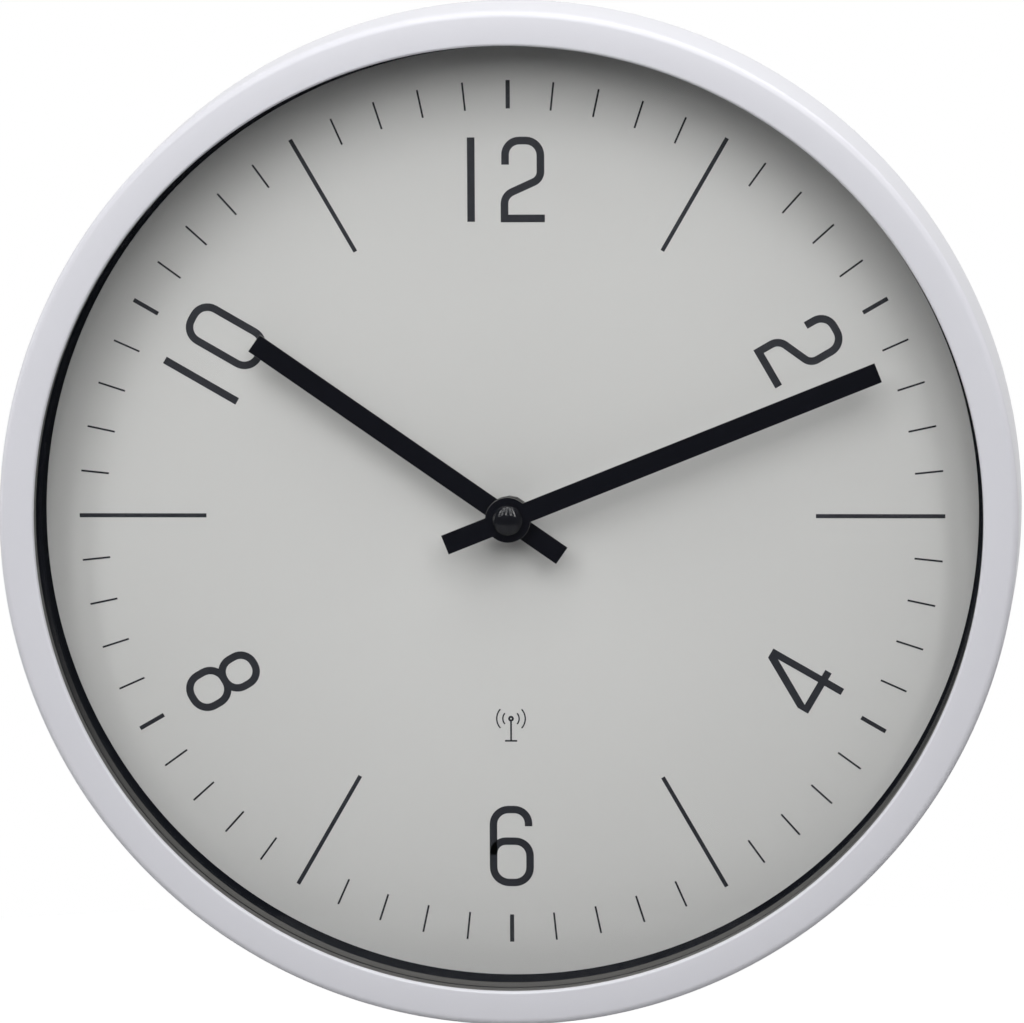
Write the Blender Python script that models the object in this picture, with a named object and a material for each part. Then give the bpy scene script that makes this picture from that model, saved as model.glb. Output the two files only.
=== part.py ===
"""Radio-controlled wall clock, 300 mm across, modelled as the pieces it comes apart into.

The clock hangs upright: +Z is 12 o'clock and the dial looks along -Y. The hand arbor lies on the Y
axis, and the origin is on it at half the depth of the case. All sizes are in metres. "Depth" is
always the distance in front of the wall, so a point at depth d has y = CASE_DEPTH / 2 - d.
A clock angle runs clockwise from 12, as seen from the front, which is a positive turn about +Y.
"""

import math

import bmesh
import bpy

# Clearances and construction
GAP = 0.0003  # between pieces that touch
CUT_OVERRUN = 0.001  # how far a cutter runs past what it cuts
FUSE = 0.0003  # how far joined shapes reach into each other
WELD = 0.000001  # points closer than this are one
RING_STEPS = 72  # facets round the case
SHARP = math.radians(35)

# Case ring: a white moulded channel, open at the back, that tapers towards the front
CASE_REAR_RADIUS = 0.150
CASE_TAPER = 0.0036  # how much smaller the front's radius is
CASE_EDGE_ROUND = 0.0012
LIP_WIDTH = 0.0099  # of the front face, from its outer edge in to the opening
LIP_ROUND = 0.0008
LIP_HEIGHT = 0.0018
CASE_WALL = 0.0022
TUBE_SETBACK = 0.0033  # from the opening out to the inner face of the tube
TUBE_WALL = 0.0018
TUBE_TAIL = 0.0010  # how far the tube reaches back past the dial's rear face
EDGE_STEPS = 2

# Glass and what clamps it
FIT = 0.0004  # radial play of the discs and rings in the tube
GLASS_THICKNESS = 0.0022
GLASS_RECESS = 0.0066  # from the front of the case to the front of the glass
TRIM_WALL = 0.0027
TRIM_DRAFT = 0.0002
GASKET_WIDTH = 0.0022
GASKET_THICKNESS = 0.0008
SPACER_WALL = 0.0030

# Dial
HAND_SPACE = 0.0152  # from the dial's face to the glass
DIAL_THICKNESS = 0.0008

# Back plate: the pan that presses the dial forward and carries the hanger
PLATE_WALL = 0.0022
FLANGE_SETBACK = 0.0033  # from the pan's face back to the flange's face
FLANGE_MARGIN = 0.0004
FRAME_WALL = 0.0016  # wall round the movement window
FRAME_HEIGHT = 0.0060
RIB_WALL = 0.0016
RIB_HEIGHT = 0.0050
RIB_COUNT = 8

# Screws that hold the back plate to the case
SCREW_COUNT = 6
SCREW_FIRST_ANGLE = math.radians(32)
SCREW_BOSS_RADIUS = 0.0028
SCREW_BOSS_LENGTH = 0.0130
SCREW_SHANK_RADIUS = 0.00115
SCREW_HEAD_RADIUS = 0.0022
SCREW_HEAD_HEIGHT = 0.0014
SCREW_LENGTH = 0.0100
SCREW_STEPS = 8
HEAD_CROWN_SHARE = 0.60  # of a screw head's radius
HEAD_EDGE_SHARE = 0.65  # of a screw head's height

# Wall hanger: a steel plate with a keyhole, on two bosses of the back plate
HANGER_DROP = 0.0318  # from the tube's inner face down to the plate's middle
HANGER_WIDTH = 0.050
HANGER_TALL = 0.024
HANGER_CORNER = 0.003
HANGER_THICKNESS = 0.0012
HANGER_STANDOFF = 0.0022  # from the wall to the plate
KEYHOLE_RADIUS = 0.0050
KEYHOLE_DROP = 0.0040  # the round hole's centre, below the plate's middle
SLOT_HALF_WIDTH = 0.0024
SLOT_RISE = 0.0060  # the slot's round end, above the plate's middle
HANGER_SCREW_INSET = 0.005  # from the plate's end to the screw's middle
HANGER_BOSS_RADIUS = 0.0032
HANGER_SCREW_HEAD_RADIUS = 0.0026
HANGER_SCREW_HEAD_HEIGHT = 0.0013
HANGER_SCREW_LENGTH = 0.0070

# Movement case: two trays that meet in a joint line, with the battery bay along the bottom
MOVEMENT_SIDE = 0.0115  # from the battery bay's end to the movement's side
MOVEMENT_TOP = 0.030
MOVEMENT_BOTTOM = 0.033
MOVEMENT_CORNER = 0.003
MOVEMENT_REAR = 0.0014  # depth of its rear face
MOVEMENT_WALL = 0.0014
MOVEMENT_FACE = 0.0012
JOINT_DEPTH = 0.0095
WINDOW_MARGIN = 0.0005

# Threaded bush, washer and nut
BUSH_RADIUS = 0.0040
BUSH_BORE_RADIUS = 0.00285
BUSH_HEIGHT = 0.0040  # above the dial's face
WASHER_RADIUS = 0.0060
WASHER_THICKNESS = 0.0005
NUT_FLATS = 0.0100
NUT_HEIGHT = 0.0022

# Battery and its bay
BATTERY_RADIUS = 0.00725
BATTERY_BODY = 0.0495
BATTERY_NUB_RADIUS = 0.0027
BATTERY_NUB = 0.0010
BATTERY_EDGE = 0.0006
BATTERY_SHOW = 0.0005  # how far the cell stands out of the movement's rear face
BATTERY_SIDE_PLAY = 0.00035
CONTACT_SPACE = 0.00275  # in the bay, beyond each end of the cell
BAY_WALL = 0.0010
BAY_FLOOR = 0.0007
CONTACT_SHEET = 0.0004
CONTACT_WIDTH = 0.0090
CONTACT_HEIGHT = 0.0110
CONTACT_DIMPLE = 0.0022

# Toothed wheels. Modules are chosen so that both motion-work pairs share one centre distance
TRAIN_MODULE = 0.00036
ROTOR_TEETH = 8
INTERMEDIATE_TEETH = 40
INTERMEDIATE_PINION_TEETH = 8
CENTRE_TEETH = 64
CANNON_MODULE = 0.00035
CANNON_TEETH = 12
MINUTE_WHEEL_TEETH = 36
MINUTE_PINION_TEETH = 10
HOUR_TEETH = 40
HOUR_MODULE = CANNON_MODULE * (CANNON_TEETH + MINUTE_WHEEL_TEETH) / (MINUTE_PINION_TEETH + HOUR_TEETH)
PRESSURE_ANGLE = math.radians(20)
ADDENDUM_SHARE = 0.95  # of the module
DEDENDUM_SHARE = 1.25  # of the module
TOOTH_SHARE = 0.43  # of the pitch; the rest is gap and backlash
WHEEL_FLANK_SHARES = (0.0, 1.0)
PINION_FLANK_SHARES = (0.0, 0.35, 0.65, 1.0)
WHEEL_THICKNESS = 0.0012
INTERMEDIATE_ANGLE = math.radians(315)  # clock angle of its axis, seen from the arbor
ROTOR_ANGLE = math.radians(270)  # clock angle of its axis, seen from the intermediate wheel
MINUTE_WHEEL_ANGLE = math.radians(45)
WHEEL_HUB_RADIUS = 0.0024
HUB_STEPS = 16

# Places along the depth, counted from the movement's rear face
ROTOR_MAGNET_DEPTH = 0.0030
ROTOR_MAGNET_THICKNESS = 0.0024
ROTOR_PINION_DEPTH = 0.0058
ROTOR_PINION_LENGTH = 0.0022
INTERMEDIATE_DEPTH = 0.0062
CENTRE_WHEEL_DEPTH = 0.0090
CANNON_LENGTH = 0.0026
MINUTE_WHEEL_DEPTH = 0.0112
HOUR_WHEEL_DEPTH = 0.0135
PINION_OVERHANG = 0.0003

# Arbors, pivots and their bearings
MINUTE_ARBOR_RADIUS = 0.0015
HOUR_TUBE_RADIUS = 0.0025
HOUR_TUBE_BORE_RADIUS = 0.00185
PIVOT_RADIUS = 0.0005
PIVOT_REACH = 0.0009
BEARING_WALL = 0.0007
MINUTE_POST_RADIUS = 0.0007
MAGNET_RADIUS = 0.0032

# Motor: laminated stator with the coil on its left leg
STATOR_MARGIN = 0.0040  # from its left leg to the movement's side
STATOR_RIGHT = 0.0133
STATOR_TOP = 0.0160
STATOR_BOTTOM = 0.0100
STATOR_LEG = 0.0045
STATOR_THICKNESS = 0.0010
STATOR_AIR = 0.0004
COIL_LENGTH = 0.0160
COIL_WALL = 0.0015
COIL_FLANGE = 0.0010
COIL_FLANGE_WALL = 0.0021

# Circuit board and what stands on it
BOARD_LEFT = 0.0142
BOARD_MARGIN = 0.0022  # from its right edge to the movement's side
BOARD_BOTTOM = 0.0105
BOARD_TOP = 0.0140
BOARD_DEPTH = 0.0066  # from the movement's rear face
BOARD_THICKNESS = 0.0010
CHIP_SIZE = 0.0070
CHIP_HEIGHT = 0.0014
CRYSTAL_RADIUS = 0.0015
CRYSTAL_LENGTH = 0.0062
SWITCH_RADIUS = 0.0016
SWITCH_HEIGHT = 0.0012
POST_RADIUS = 0.0013

# Aerial: a ferrite rod with its winding
ROD_RADIUS = 0.0040
ROD_MARGIN = 0.0090  # from each end to the movement's side
ROD_DROP = 0.0072  # from the movement's top down to its axis
WINDING_RADIUS = 0.0051
WINDING_LENGTH = 0.0240
SADDLE_WALL = 0.0012
SADDLE_OFFSET = 0.0220
ROD_STEPS = 16

# Push buttons on the movement's rear face
BUTTON_RADIUS = 0.0023
BUTTON_SHOW = 0.0009  # proud of the rear face
BUTTON_FLANGE_RADIUS = 0.0032
BUTTON_FLANGE = 0.0008
BUTTON_TRAVEL = 0.0006
BUTTON_STEM_RADIUS = 0.0011
BUTTON_HEIGHTS = {"set_button": 0.0100, "receive_button": 0.0015, "reset_button": -0.0070}
BUTTON_MARGIN = 0.0140  # from their axis to the movement's side

# Screws that close the movement
CLOSER_INSET = 0.0034
CLOSER_BOSS_RADIUS = 0.0024
CLOSER_SHANK_RADIUS = 0.0008
CLOSER_HEAD_RADIUS = 0.0015
CLOSER_HEAD_HEIGHT = 0.0011
CLOSER_LENGTH = 0.0100

# Hands, shown at the photographed time
HOUR_HAND_ANGLE = math.radians(304.8)
MINUTE_HAND_ANGLE = math.radians(68.2)
HAND_WIDTH = 0.0059
HAND_SHEET = 0.0006
HAND_DISC_RADIUS = 0.0066
HOUR_HAND_MARGIN = 0.0501  # from its tip to the tube's inner face
HOUR_HAND_TAIL = 0.0189
HOUR_HAND_LIFT = 0.0076  # above the dial's face
HOUR_COLLAR_RADIUS = 0.0036
HOUR_COLLAR_LENGTH = 0.0022
MINUTE_HAND_MARGIN = 0.0248
MINUTE_HAND_TAIL = 0.0197
MINUTE_HAND_LIFT = 0.0108
MINUTE_COLLAR_RADIUS = 0.0028
MINUTE_COLLAR_LENGTH = 0.0014
ARBOR_SHOW = 0.0008  # of the arbor in front of the minute hand
CAP_RADIUS = 0.0044
CAP_SKIRT = 0.0007
CAP_DOME = 0.0018
CAP_STEPS = 24
DOME_STEPS = 5

# Sizes and places that follow from those above. The case is as deep as what it holds: the cell in its
# bay, the dial, the hands under the glass and the glass itself
BATTERY_DEPTH = MOVEMENT_REAR - BATTERY_SHOW + BATTERY_RADIUS
BAY_BOTTOM_DEPTH = BATTERY_DEPTH + BATTERY_RADIUS + GAP
FACE_INSIDE = BAY_BOTTOM_DEPTH + BAY_FLOOR + GAP
MOVEMENT_FRONT = FACE_INSIDE + MOVEMENT_FACE
DIAL_REAR = MOVEMENT_FRONT + GAP
DIAL_FACE = DIAL_REAR + DIAL_THICKNESS
GLASS_REAR = DIAL_FACE + HAND_SPACE
GLASS_FRONT = GLASS_REAR + GLASS_THICKNESS
CASE_DEPTH = GLASS_FRONT + GLASS_RECESS
WALL = CASE_DEPTH / 2
CASE_FRONT_RADIUS = CASE_REAR_RADIUS - CASE_TAPER
LIP_RADIUS = CASE_FRONT_RADIUS - LIP_WIDTH
TUBE_RADIUS = LIP_RADIUS + TUBE_SETBACK
TUBE_REAR = DIAL_REAR - TUBE_TAIL - GAP
PLATE_FACE = DIAL_REAR - GAP
PLATE_REAR = PLATE_FACE - PLATE_WALL
FLANGE_FACE = PLATE_FACE - FLANGE_SETBACK
FLANGE_REAR = FLANGE_FACE - PLATE_WALL
REAR_INSIDE = MOVEMENT_REAR + MOVEMENT_WALL
SCREW_RING_RADIUS = TUBE_RADIUS + TUBE_WALL + SCREW_BOSS_RADIUS - 2 * FUSE
HOUR_SHEET = DIAL_FACE + HOUR_HAND_LIFT
MINUTE_SHEET = DIAL_FACE + MINUTE_HAND_LIFT
ARBOR_TIP = MINUTE_SHEET + HAND_SHEET + ARBOR_SHOW
BAY_HALF_HEIGHT = BATTERY_RADIUS + BATTERY_SIDE_PLAY
BATTERY_HEIGHT = -(MOVEMENT_BOTTOM - MOVEMENT_WALL - GAP - BAY_WALL - BAY_HALF_HEIGHT)
BAY_LENGTH = BATTERY_BODY + 2 * CONTACT_SPACE
MOVEMENT_WIDTH = BAY_LENGTH + 2 * MOVEMENT_SIDE
STATOR_LEFT = MOVEMENT_WIDTH / 2 - STATOR_MARGIN
BOARD_RIGHT = MOVEMENT_WIDTH / 2 - BOARD_MARGIN
ROD_LENGTH = MOVEMENT_WIDTH - 2 * ROD_MARGIN
ROD_HEIGHT = MOVEMENT_TOP - ROD_DROP
BUTTON_OFFSET = MOVEMENT_WIDTH / 2 - BUTTON_MARGIN
HANGER_HEIGHT = TUBE_RADIUS - HANGER_DROP
HANGER_SCREW_OFFSET = HANGER_WIDTH / 2 - HANGER_SCREW_INSET
HOUR_HAND_REACH = TUBE_RADIUS - HOUR_HAND_MARGIN
MINUTE_HAND_REACH = TUBE_RADIUS - MINUTE_HAND_MARGIN
CENTRE_DISTANCE = TRAIN_MODULE * (CENTRE_TEETH + INTERMEDIATE_PINION_TEETH) / 2
ROTOR_DISTANCE = TRAIN_MODULE * (INTERMEDIATE_TEETH + ROTOR_TEETH) / 2
MOTION_DISTANCE = CANNON_MODULE * (CANNON_TEETH + MINUTE_WHEEL_TEETH) / 2


def material(name, colour, roughness, metallic=0.0):
    """A Principled material in the piece's own colour (linear RGB)."""
    made = bpy.data.materials.new(name)
    made.use_nodes = True
    shader = made.node_tree.nodes["Principled BSDF"]
    shader.inputs["Base Color"].default_value = (*colour, 1.0)
    shader.inputs["Roughness"].default_value = roughness
    shader.inputs["Metallic"].default_value = metallic
    made.diffuse_color = (*colour, 1.0)
    return made


def add_object(name, mesh, finish, place=(0.0, 0.0), turn=0.0):
    """Turns a bmesh into an object whose origin is on its own axis, at (x, z), turned about +Y."""
    bmesh.ops.remove_doubles(mesh, verts=mesh.verts[:], dist=WELD)
    bmesh.ops.recalc_face_normals(mesh, faces=mesh.faces[:])
    data = bpy.data.meshes.new(name)
    mesh.to_mesh(data)
    mesh.free()
    data.shade_smooth()
    data.set_sharp_from_angle(angle=SHARP)
    if finish is not None:
        data.materials.append(finish)
    made = bpy.data.objects.new(name, data)
    made.location = (place[0], WALL, place[1])
    made.rotation_euler = (0.0, turn, 0.0)
    bpy.context.scene.collection.objects.link(made)
    return made


def circle(radius, steps, centre=(0.0, 0.0)):
    """Points of a circle, clockwise from the top."""
    angles = [2 * math.pi * i / steps for i in range(steps)]
    return [(centre[0] + radius * math.sin(a), centre[1] + radius * math.cos(a)) for a in angles]


def arc(radius, first, last, steps, centre=(0.0, 0.0)):
    """Points of an arc between two clock angles, both ends included."""
    angles = [first + (last - first) * i / steps for i in range(steps + 1)]
    return [(centre[0] + radius * math.sin(a), centre[1] + radius * math.cos(a)) for a in angles]


def rectangle(left, right, bottom, top, corner=0.0, steps=EDGE_STEPS):
    """A rectangle, clockwise, with round corners where corner is more than zero."""
    if corner <= 0:
        return [(right, top), (right, bottom), (left, bottom), (left, top)]
    quarter = math.pi / 2
    centres = [
        (right - corner, top - corner),
        (right - corner, bottom + corner),
        (left + corner, bottom + corner),
        (left + corner, top - corner),
    ]
    points = []
    for turn, centre in enumerate(centres):
        points += arc(corner, turn * quarter, (turn + 1) * quarter, steps, centre)
    return points


def turned(name, profile, finish, steps=RING_STEPS, place=(0.0, 0.0), turn=0.0):
    """A body of revolution about a line along Y. The profile is a list of (radius, depth)."""
    mesh = bmesh.new()
    corners = [mesh.verts.new((radius, -depth, 0.0)) for radius, depth in profile]
    pairs = zip(corners, corners[1:] + corners[:1])
    edges = [mesh.edges.new(pair) for pair in pairs if max(pair[0].co.x, pair[1].co.x) > 0]
    bmesh.ops.spin(
        mesh,
        geom=corners + edges,
        cent=(0.0, 0.0, 0.0),
        axis=(0.0, 1.0, 0.0),
        angle=2 * math.pi,
        steps=steps,
        use_merge=True,
    )
    return add_object(name, mesh, finish, place, turn)


def ring(name, inner, outer, rear, front, finish, steps=RING_STEPS, place=(0.0, 0.0)):
    """A plain ring between two radii and two depths."""
    profile = [(inner, rear), (outer, rear), (outer, front), (inner, front)]
    return turned(name, profile, finish, steps, place)


def pin(name, radius, rear, front, finish=None, steps=SCREW_STEPS, place=(0.0, 0.0)):
    """A plain cylinder along Y."""
    profile = [(0.0, rear), (radius, rear), (radius, front), (0.0, front)]
    return turned(name, profile, finish, steps, place)


def slab(name, loops, rear, front, finish=None, place=(0.0, 0.0), turn=0.0):
    """A flat piece: the first loop of (x, z) points is its outline and the others are its holes."""
    mesh = bmesh.new()
    edges = []
    for loop in loops:
        corners = [mesh.verts.new((x, -rear, z)) for x, z in loop]
        edges += [mesh.edges.new(pair) for pair in zip(corners, corners[1:] + corners[:1])]
    bmesh.ops.triangle_fill(mesh, use_beauty=True, edges=edges)
    grown = bmesh.ops.extrude_face_region(mesh, geom=mesh.faces[:], use_keep_orig=True)
    moved = [item for item in grown["geom"] if isinstance(item, bmesh.types.BMVert)]
    bmesh.ops.translate(mesh, verts=moved, vec=(0.0, rear - front, 0.0))
    return add_object(name, mesh, finish, place, turn)


def bar_along(axis, name, loops, low, high, finish=None):
    """A slab whose thickness runs along X or Z. Its loops hold (depth, z) or (x, depth) points."""
    made = slab(name, loops, 0.0, high - low, None)
    for vertex in made.data.vertices:
        along = low - vertex.co.y
        if axis == "X":
            vertex.co = (along, -vertex.co.x, vertex.co.z)
        else:
            vertex.co = (vertex.co.x, -vertex.co.z, along)
    mesh = bmesh.new()
    mesh.from_mesh(made.data)
    data = made.data
    bpy.data.objects.remove(made)
    bpy.data.meshes.remove(data)
    return add_object(name, mesh, finish)


def helper(made):
    """Marks an object as a shape that only cuts or joins."""
    made.hide_render = True
    made.display_type = "WIRE"
    return made


def combine(body, operation, *others):
    """Joins or cuts with the other shapes, which become helpers."""
    for other in others:
        helper(other)
        step = body.modifiers.new(f"{operation.lower()} {other.name}", "BOOLEAN")
        step.operation = operation
        step.solver = "EXACT"
        step.object = other
    return body


def fuse(body, *others):
    return combine(body, "UNION", *others)


def cut(body, *others):
    return combine(body, "DIFFERENCE", *others)


def polar(radius, angle):
    """The (x, z) place at a radius and a clock angle."""
    return (radius * math.sin(angle), radius * math.cos(angle))


def shifted(place, radius, angle):
    dx, dz = polar(radius, angle)
    return (place[0] + dx, place[1] + dz)


def tooth_half_angle(teeth, module, radius):
    """Half the angle that an involute tooth takes up at a radius."""
    pitch_radius = teeth * module / 2
    base_radius = pitch_radius * math.cos(PRESSURE_ANGLE)

    def involute(at):
        slope = math.acos(min(1.0, base_radius / at))
        return math.tan(slope) - slope

    return math.pi * TOOTH_SHARE / teeth + involute(pitch_radius) - involute(max(radius, base_radius))


def toothed(teeth, module, flank_shares):
    """The outline of a wheel or pinion, with its first tooth at the top."""
    root = teeth * module / 2 - DEDENDUM_SHARE * module
    tip = teeth * module / 2 + ADDENDUM_SHARE * module
    flank = [root + (tip - root) * share for share in flank_shares]
    points = []
    for tooth in range(teeth):
        middle = 2 * math.pi * tooth / teeth
        points += [polar(at, middle - tooth_half_angle(teeth, module, at)) for at in flank]
        points += [polar(at, middle + tooth_half_angle(teeth, module, at)) for at in reversed(flank)]
    return points


def meshing_turn(driver_teeth, driver_turn, teeth, direction):
    """The turn that puts a wheel's gap on its driver's tooth, for the line from driver to wheel."""
    tooth_on_line = (direction - driver_turn) * driver_teeth / (2 * math.pi)
    return direction + math.pi - (0.5 - tooth_on_line) * 2 * math.pi / teeth


WHITE = material("case_white_satin", (0.63, 0.63, 0.68), 0.38)
GLOSS_BLACK = material("trim_gloss_black", (0.012, 0.013, 0.015), 0.16)
MATT_BLACK = material("spacer_matt_black", (0.010, 0.011, 0.013), 0.60)
GLASS = material("lens_glass", (0.90, 0.93, 0.92), 0.02)
FOAM = material("gasket_rubber", (0.02, 0.02, 0.02), 0.85)
DIAL_PAPER = material("dial_warm_grey", (0.56, 0.56, 0.54), 0.55)
PAN_BLACK = material("back_plate_black", (0.020, 0.020, 0.022), 0.50)
STEEL = material("steel", (0.55, 0.55, 0.56), 0.35, 1.0)
ZINC = material("zinc_plated_steel", (0.62, 0.62, 0.60), 0.30, 1.0)
BRASS = material("brass", (0.72, 0.52, 0.22), 0.28, 1.0)
HAND_BLACK = material("hand_matt_black", (0.008, 0.009, 0.012), 0.45)
CAP_BLACK = material("cap_gloss_black", (0.010, 0.011, 0.015), 0.12)
MOVEMENT_BLACK = material("movement_black", (0.018, 0.018, 0.020), 0.42)
WHEEL_PLASTIC = material("wheel_white_acetal", (0.80, 0.79, 0.74), 0.35)
MAGNET = material("rotor_magnet", (0.10, 0.09, 0.09), 0.45)
COPPER = material("copper_winding", (0.70, 0.30, 0.15), 0.35, 1.0)
BOARD_GREEN = material("board_green", (0.020, 0.12, 0.045), 0.45)
CHIP_BLACK = material("chip_black", (0.015, 0.015, 0.015), 0.50)
FERRITE = material("ferrite_grey", (0.06, 0.06, 0.065), 0.55)
CELL_SLEEVE = material("battery_sleeve", (0.05, 0.16, 0.08), 0.30)
BUTTON_GREY = material("button_grey", (0.30, 0.30, 0.31), 0.45)


def case_outer_radius(depth):
    """The case's outside at a depth: a straight taper from the wall to the front."""
    return CASE_REAR_RADIUS + (CASE_FRONT_RADIUS - CASE_REAR_RADIUS) * depth / CASE_DEPTH


def screw_places():
    turns = [SCREW_FIRST_ANGLE + 2 * math.pi * i / SCREW_COUNT for i in range(SCREW_COUNT)]
    return [polar(SCREW_RING_RADIUS, turn) for turn in turns]


def case_ring():
    """Front face, tapered outer wall and inner tube in one moulding, with six screw bosses."""
    quarter = math.pi / 2
    front_corner = (case_outer_radius(CASE_DEPTH) - CASE_EDGE_ROUND, CASE_DEPTH - CASE_EDGE_ROUND)
    lip_corner = (LIP_RADIUS + LIP_ROUND, CASE_DEPTH - LIP_ROUND)
    under_face = CASE_DEPTH - CASE_WALL
    profile = [(CASE_REAR_RADIUS, 0.0)]
    profile += reversed(arc(CASE_EDGE_ROUND, 0.0, quarter, EDGE_STEPS, front_corner))
    profile += arc(LIP_ROUND, 0.0, -quarter, EDGE_STEPS, lip_corner)
    profile += [
        (LIP_RADIUS, CASE_DEPTH - LIP_HEIGHT),
        (TUBE_RADIUS, CASE_DEPTH - LIP_HEIGHT),
        (TUBE_RADIUS, TUBE_REAR),
        (TUBE_RADIUS + TUBE_WALL, TUBE_REAR),
        (TUBE_RADIUS + TUBE_WALL, under_face),
        (case_outer_radius(under_face) - CASE_WALL, under_face),
        (CASE_REAR_RADIUS - CASE_WALL, 0.0),
    ]
    body = turned("case_ring", profile, WHITE)
    rear = FLANGE_FACE + GAP
    for number, place in enumerate(screw_places(), 1):
        boss = pin(f"case_boss_{number}", SCREW_BOSS_RADIUS, rear, rear + SCREW_BOSS_LENGTH, place=place)
        fuse(body, boss)
        hole_end = FLANGE_REAR + SCREW_LENGTH + GAP
        hole = pin(
            f"case_pilot_{number}", SCREW_SHANK_RADIUS + GAP, rear - CUT_OVERRUN, hole_end, place=place
        )
        cut(body, hole)


def glass_parts():
    """Gloss trim ring, glass, gasket and the matt spacer that stands on the dial."""
    outer = TUBE_RADIUS - FIT
    trim_front = CASE_DEPTH - LIP_HEIGHT - GAP
    trim_rear = GLASS_FRONT + GAP
    trim = [
        (outer - TRIM_WALL, trim_rear),
        (outer, trim_rear),
        (outer, trim_front),
        (outer - TRIM_WALL + TRIM_DRAFT, trim_front),
    ]
    turned("glass_trim_ring", trim, GLOSS_BLACK)
    pin("lens", outer, GLASS_REAR, GLASS_FRONT, GLASS, RING_STEPS)
    gasket_front = GLASS_REAR - GAP
    gasket_rear = gasket_front - GASKET_THICKNESS
    ring("lens_gasket", outer - GASKET_WIDTH, outer, gasket_rear, gasket_front, FOAM)
    foot = DIAL_FACE + GAP
    ring("dial_spacer", outer - SPACER_WALL, outer, foot, gasket_rear - GAP, MATT_BLACK)


def dial():
    hole = circle(BUSH_RADIUS + GAP, HUB_STEPS)
    slab("dial", [circle(TUBE_RADIUS - FIT, RING_STEPS), hole], DIAL_REAR, DIAL_FACE, DIAL_PAPER)


def movement_outline(margin=0.0):
    """The movement's outline, grown by a margin."""
    half = MOVEMENT_WIDTH / 2 + margin
    low, high = -MOVEMENT_BOTTOM - margin, MOVEMENT_TOP + margin
    return rectangle(-half, half, low, high, MOVEMENT_CORNER + margin)


def back_plate():
    """The moulded pan: web, stepped flange, movement window with its frame, ribs and bosses."""
    outer = TUBE_RADIUS - FIT
    flange_edge = case_outer_radius(FLANGE_REAR) - CASE_WALL - FLANGE_MARGIN
    profile = [
        (0.0, PLATE_REAR),
        (outer - PLATE_WALL, PLATE_REAR),
        (outer - PLATE_WALL, FLANGE_REAR),
        (flange_edge, FLANGE_REAR),
        (flange_edge, FLANGE_FACE),
        (outer, FLANGE_FACE),
        (outer, PLATE_FACE),
        (0.0, PLATE_FACE),
    ]
    body = turned("back_plate", profile, PAN_BLACK)
    frame_rear = PLATE_REAR - FRAME_HEIGHT
    frame = slab(
        "plate_frame", [movement_outline(WINDOW_MARGIN + FRAME_WALL)], frame_rear, PLATE_REAR + FUSE
    )
    fuse(body, frame)
    rib_inner = MOVEMENT_TOP
    rib_outer = outer - PLATE_WALL + FUSE
    for number in range(RIB_COUNT):
        turn = 2 * math.pi * (number + 0.5) / RIB_COUNT
        rib = slab(
            f"plate_rib_{number + 1}",
            [rectangle(-RIB_WALL / 2, RIB_WALL / 2, rib_inner, rib_outer)],
            PLATE_REAR - RIB_HEIGHT,
            PLATE_REAR + FUSE,
            turn=turn,
        )
        fuse(body, rib)
    boss_rear = HANGER_STANDOFF + HANGER_THICKNESS + GAP
    for number, side in enumerate((-1, 1), 1):
        place = (side * HANGER_SCREW_OFFSET, HANGER_HEIGHT)
        boss = pin(
            f"hanger_boss_{number}",
            HANGER_BOSS_RADIUS,
            boss_rear,
            PLATE_REAR + FUSE,
            steps=HUB_STEPS,
            place=place,
        )
        fuse(body, boss)
        hole_end = boss_rear + HANGER_SCREW_LENGTH
        hole = pin(
            f"hanger_pilot_{number}",
            SCREW_SHANK_RADIUS + GAP,
            boss_rear - CUT_OVERRUN,
            hole_end,
            place=place,
        )
        cut(body, hole)
    window = slab(
        "plate_window",
        [movement_outline(WINDOW_MARGIN)],
        frame_rear - CUT_OVERRUN,
        PLATE_FACE + CUT_OVERRUN,
    )
    cut(body, window)
    for number, place in enumerate(screw_places(), 1):
        hole = pin(
            f"flange_hole_{number}",
            SCREW_SHANK_RADIUS + GAP,
            FLANGE_REAR - CUT_OVERRUN,
            FLANGE_FACE + CUT_OVERRUN,
            place=place,
        )
        cut(body, hole)


def screw(name, place, seat, head_radius, head_height, shank_radius, length):
    """A pan-head screw driven forward, its head resting behind the seat."""
    under_head = seat - GAP
    profile = [
        (0.0, under_head - head_height),
        (head_radius * HEAD_CROWN_SHARE, under_head - head_height),
        (head_radius, under_head - head_height * HEAD_EDGE_SHARE),
        (head_radius, under_head),
        (shank_radius, under_head),
        (shank_radius, seat + length - shank_radius),
        (0.0, seat + length),
    ]
    return turned(name, profile, ZINC, SCREW_STEPS, place)



def case_screws():
    for number, place in enumerate(screw_places(), 1):
        screw(
            f"case_screw_{number}",
            place,
            FLANGE_REAR,
            SCREW_HEAD_RADIUS,
            SCREW_HEAD_HEIGHT,
            SCREW_SHANK_RADIUS,
            SCREW_LENGTH - GAP,
        )


def keyhole():
    """The hanger's opening: a round hole with a slot that rises to a round end."""
    drop = (0.0, HANGER_HEIGHT - KEYHOLE_DROP)
    meet = math.asin(SLOT_HALF_WIDTH / KEYHOLE_RADIUS)
    points = arc(KEYHOLE_RADIUS, meet, 2 * math.pi - meet, HUB_STEPS, drop)
    top = (0.0, HANGER_HEIGHT + SLOT_RISE)
    points += arc(SLOT_HALF_WIDTH, -math.pi / 2, math.pi / 2, HUB_STEPS // 2, top)
    return points


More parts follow.
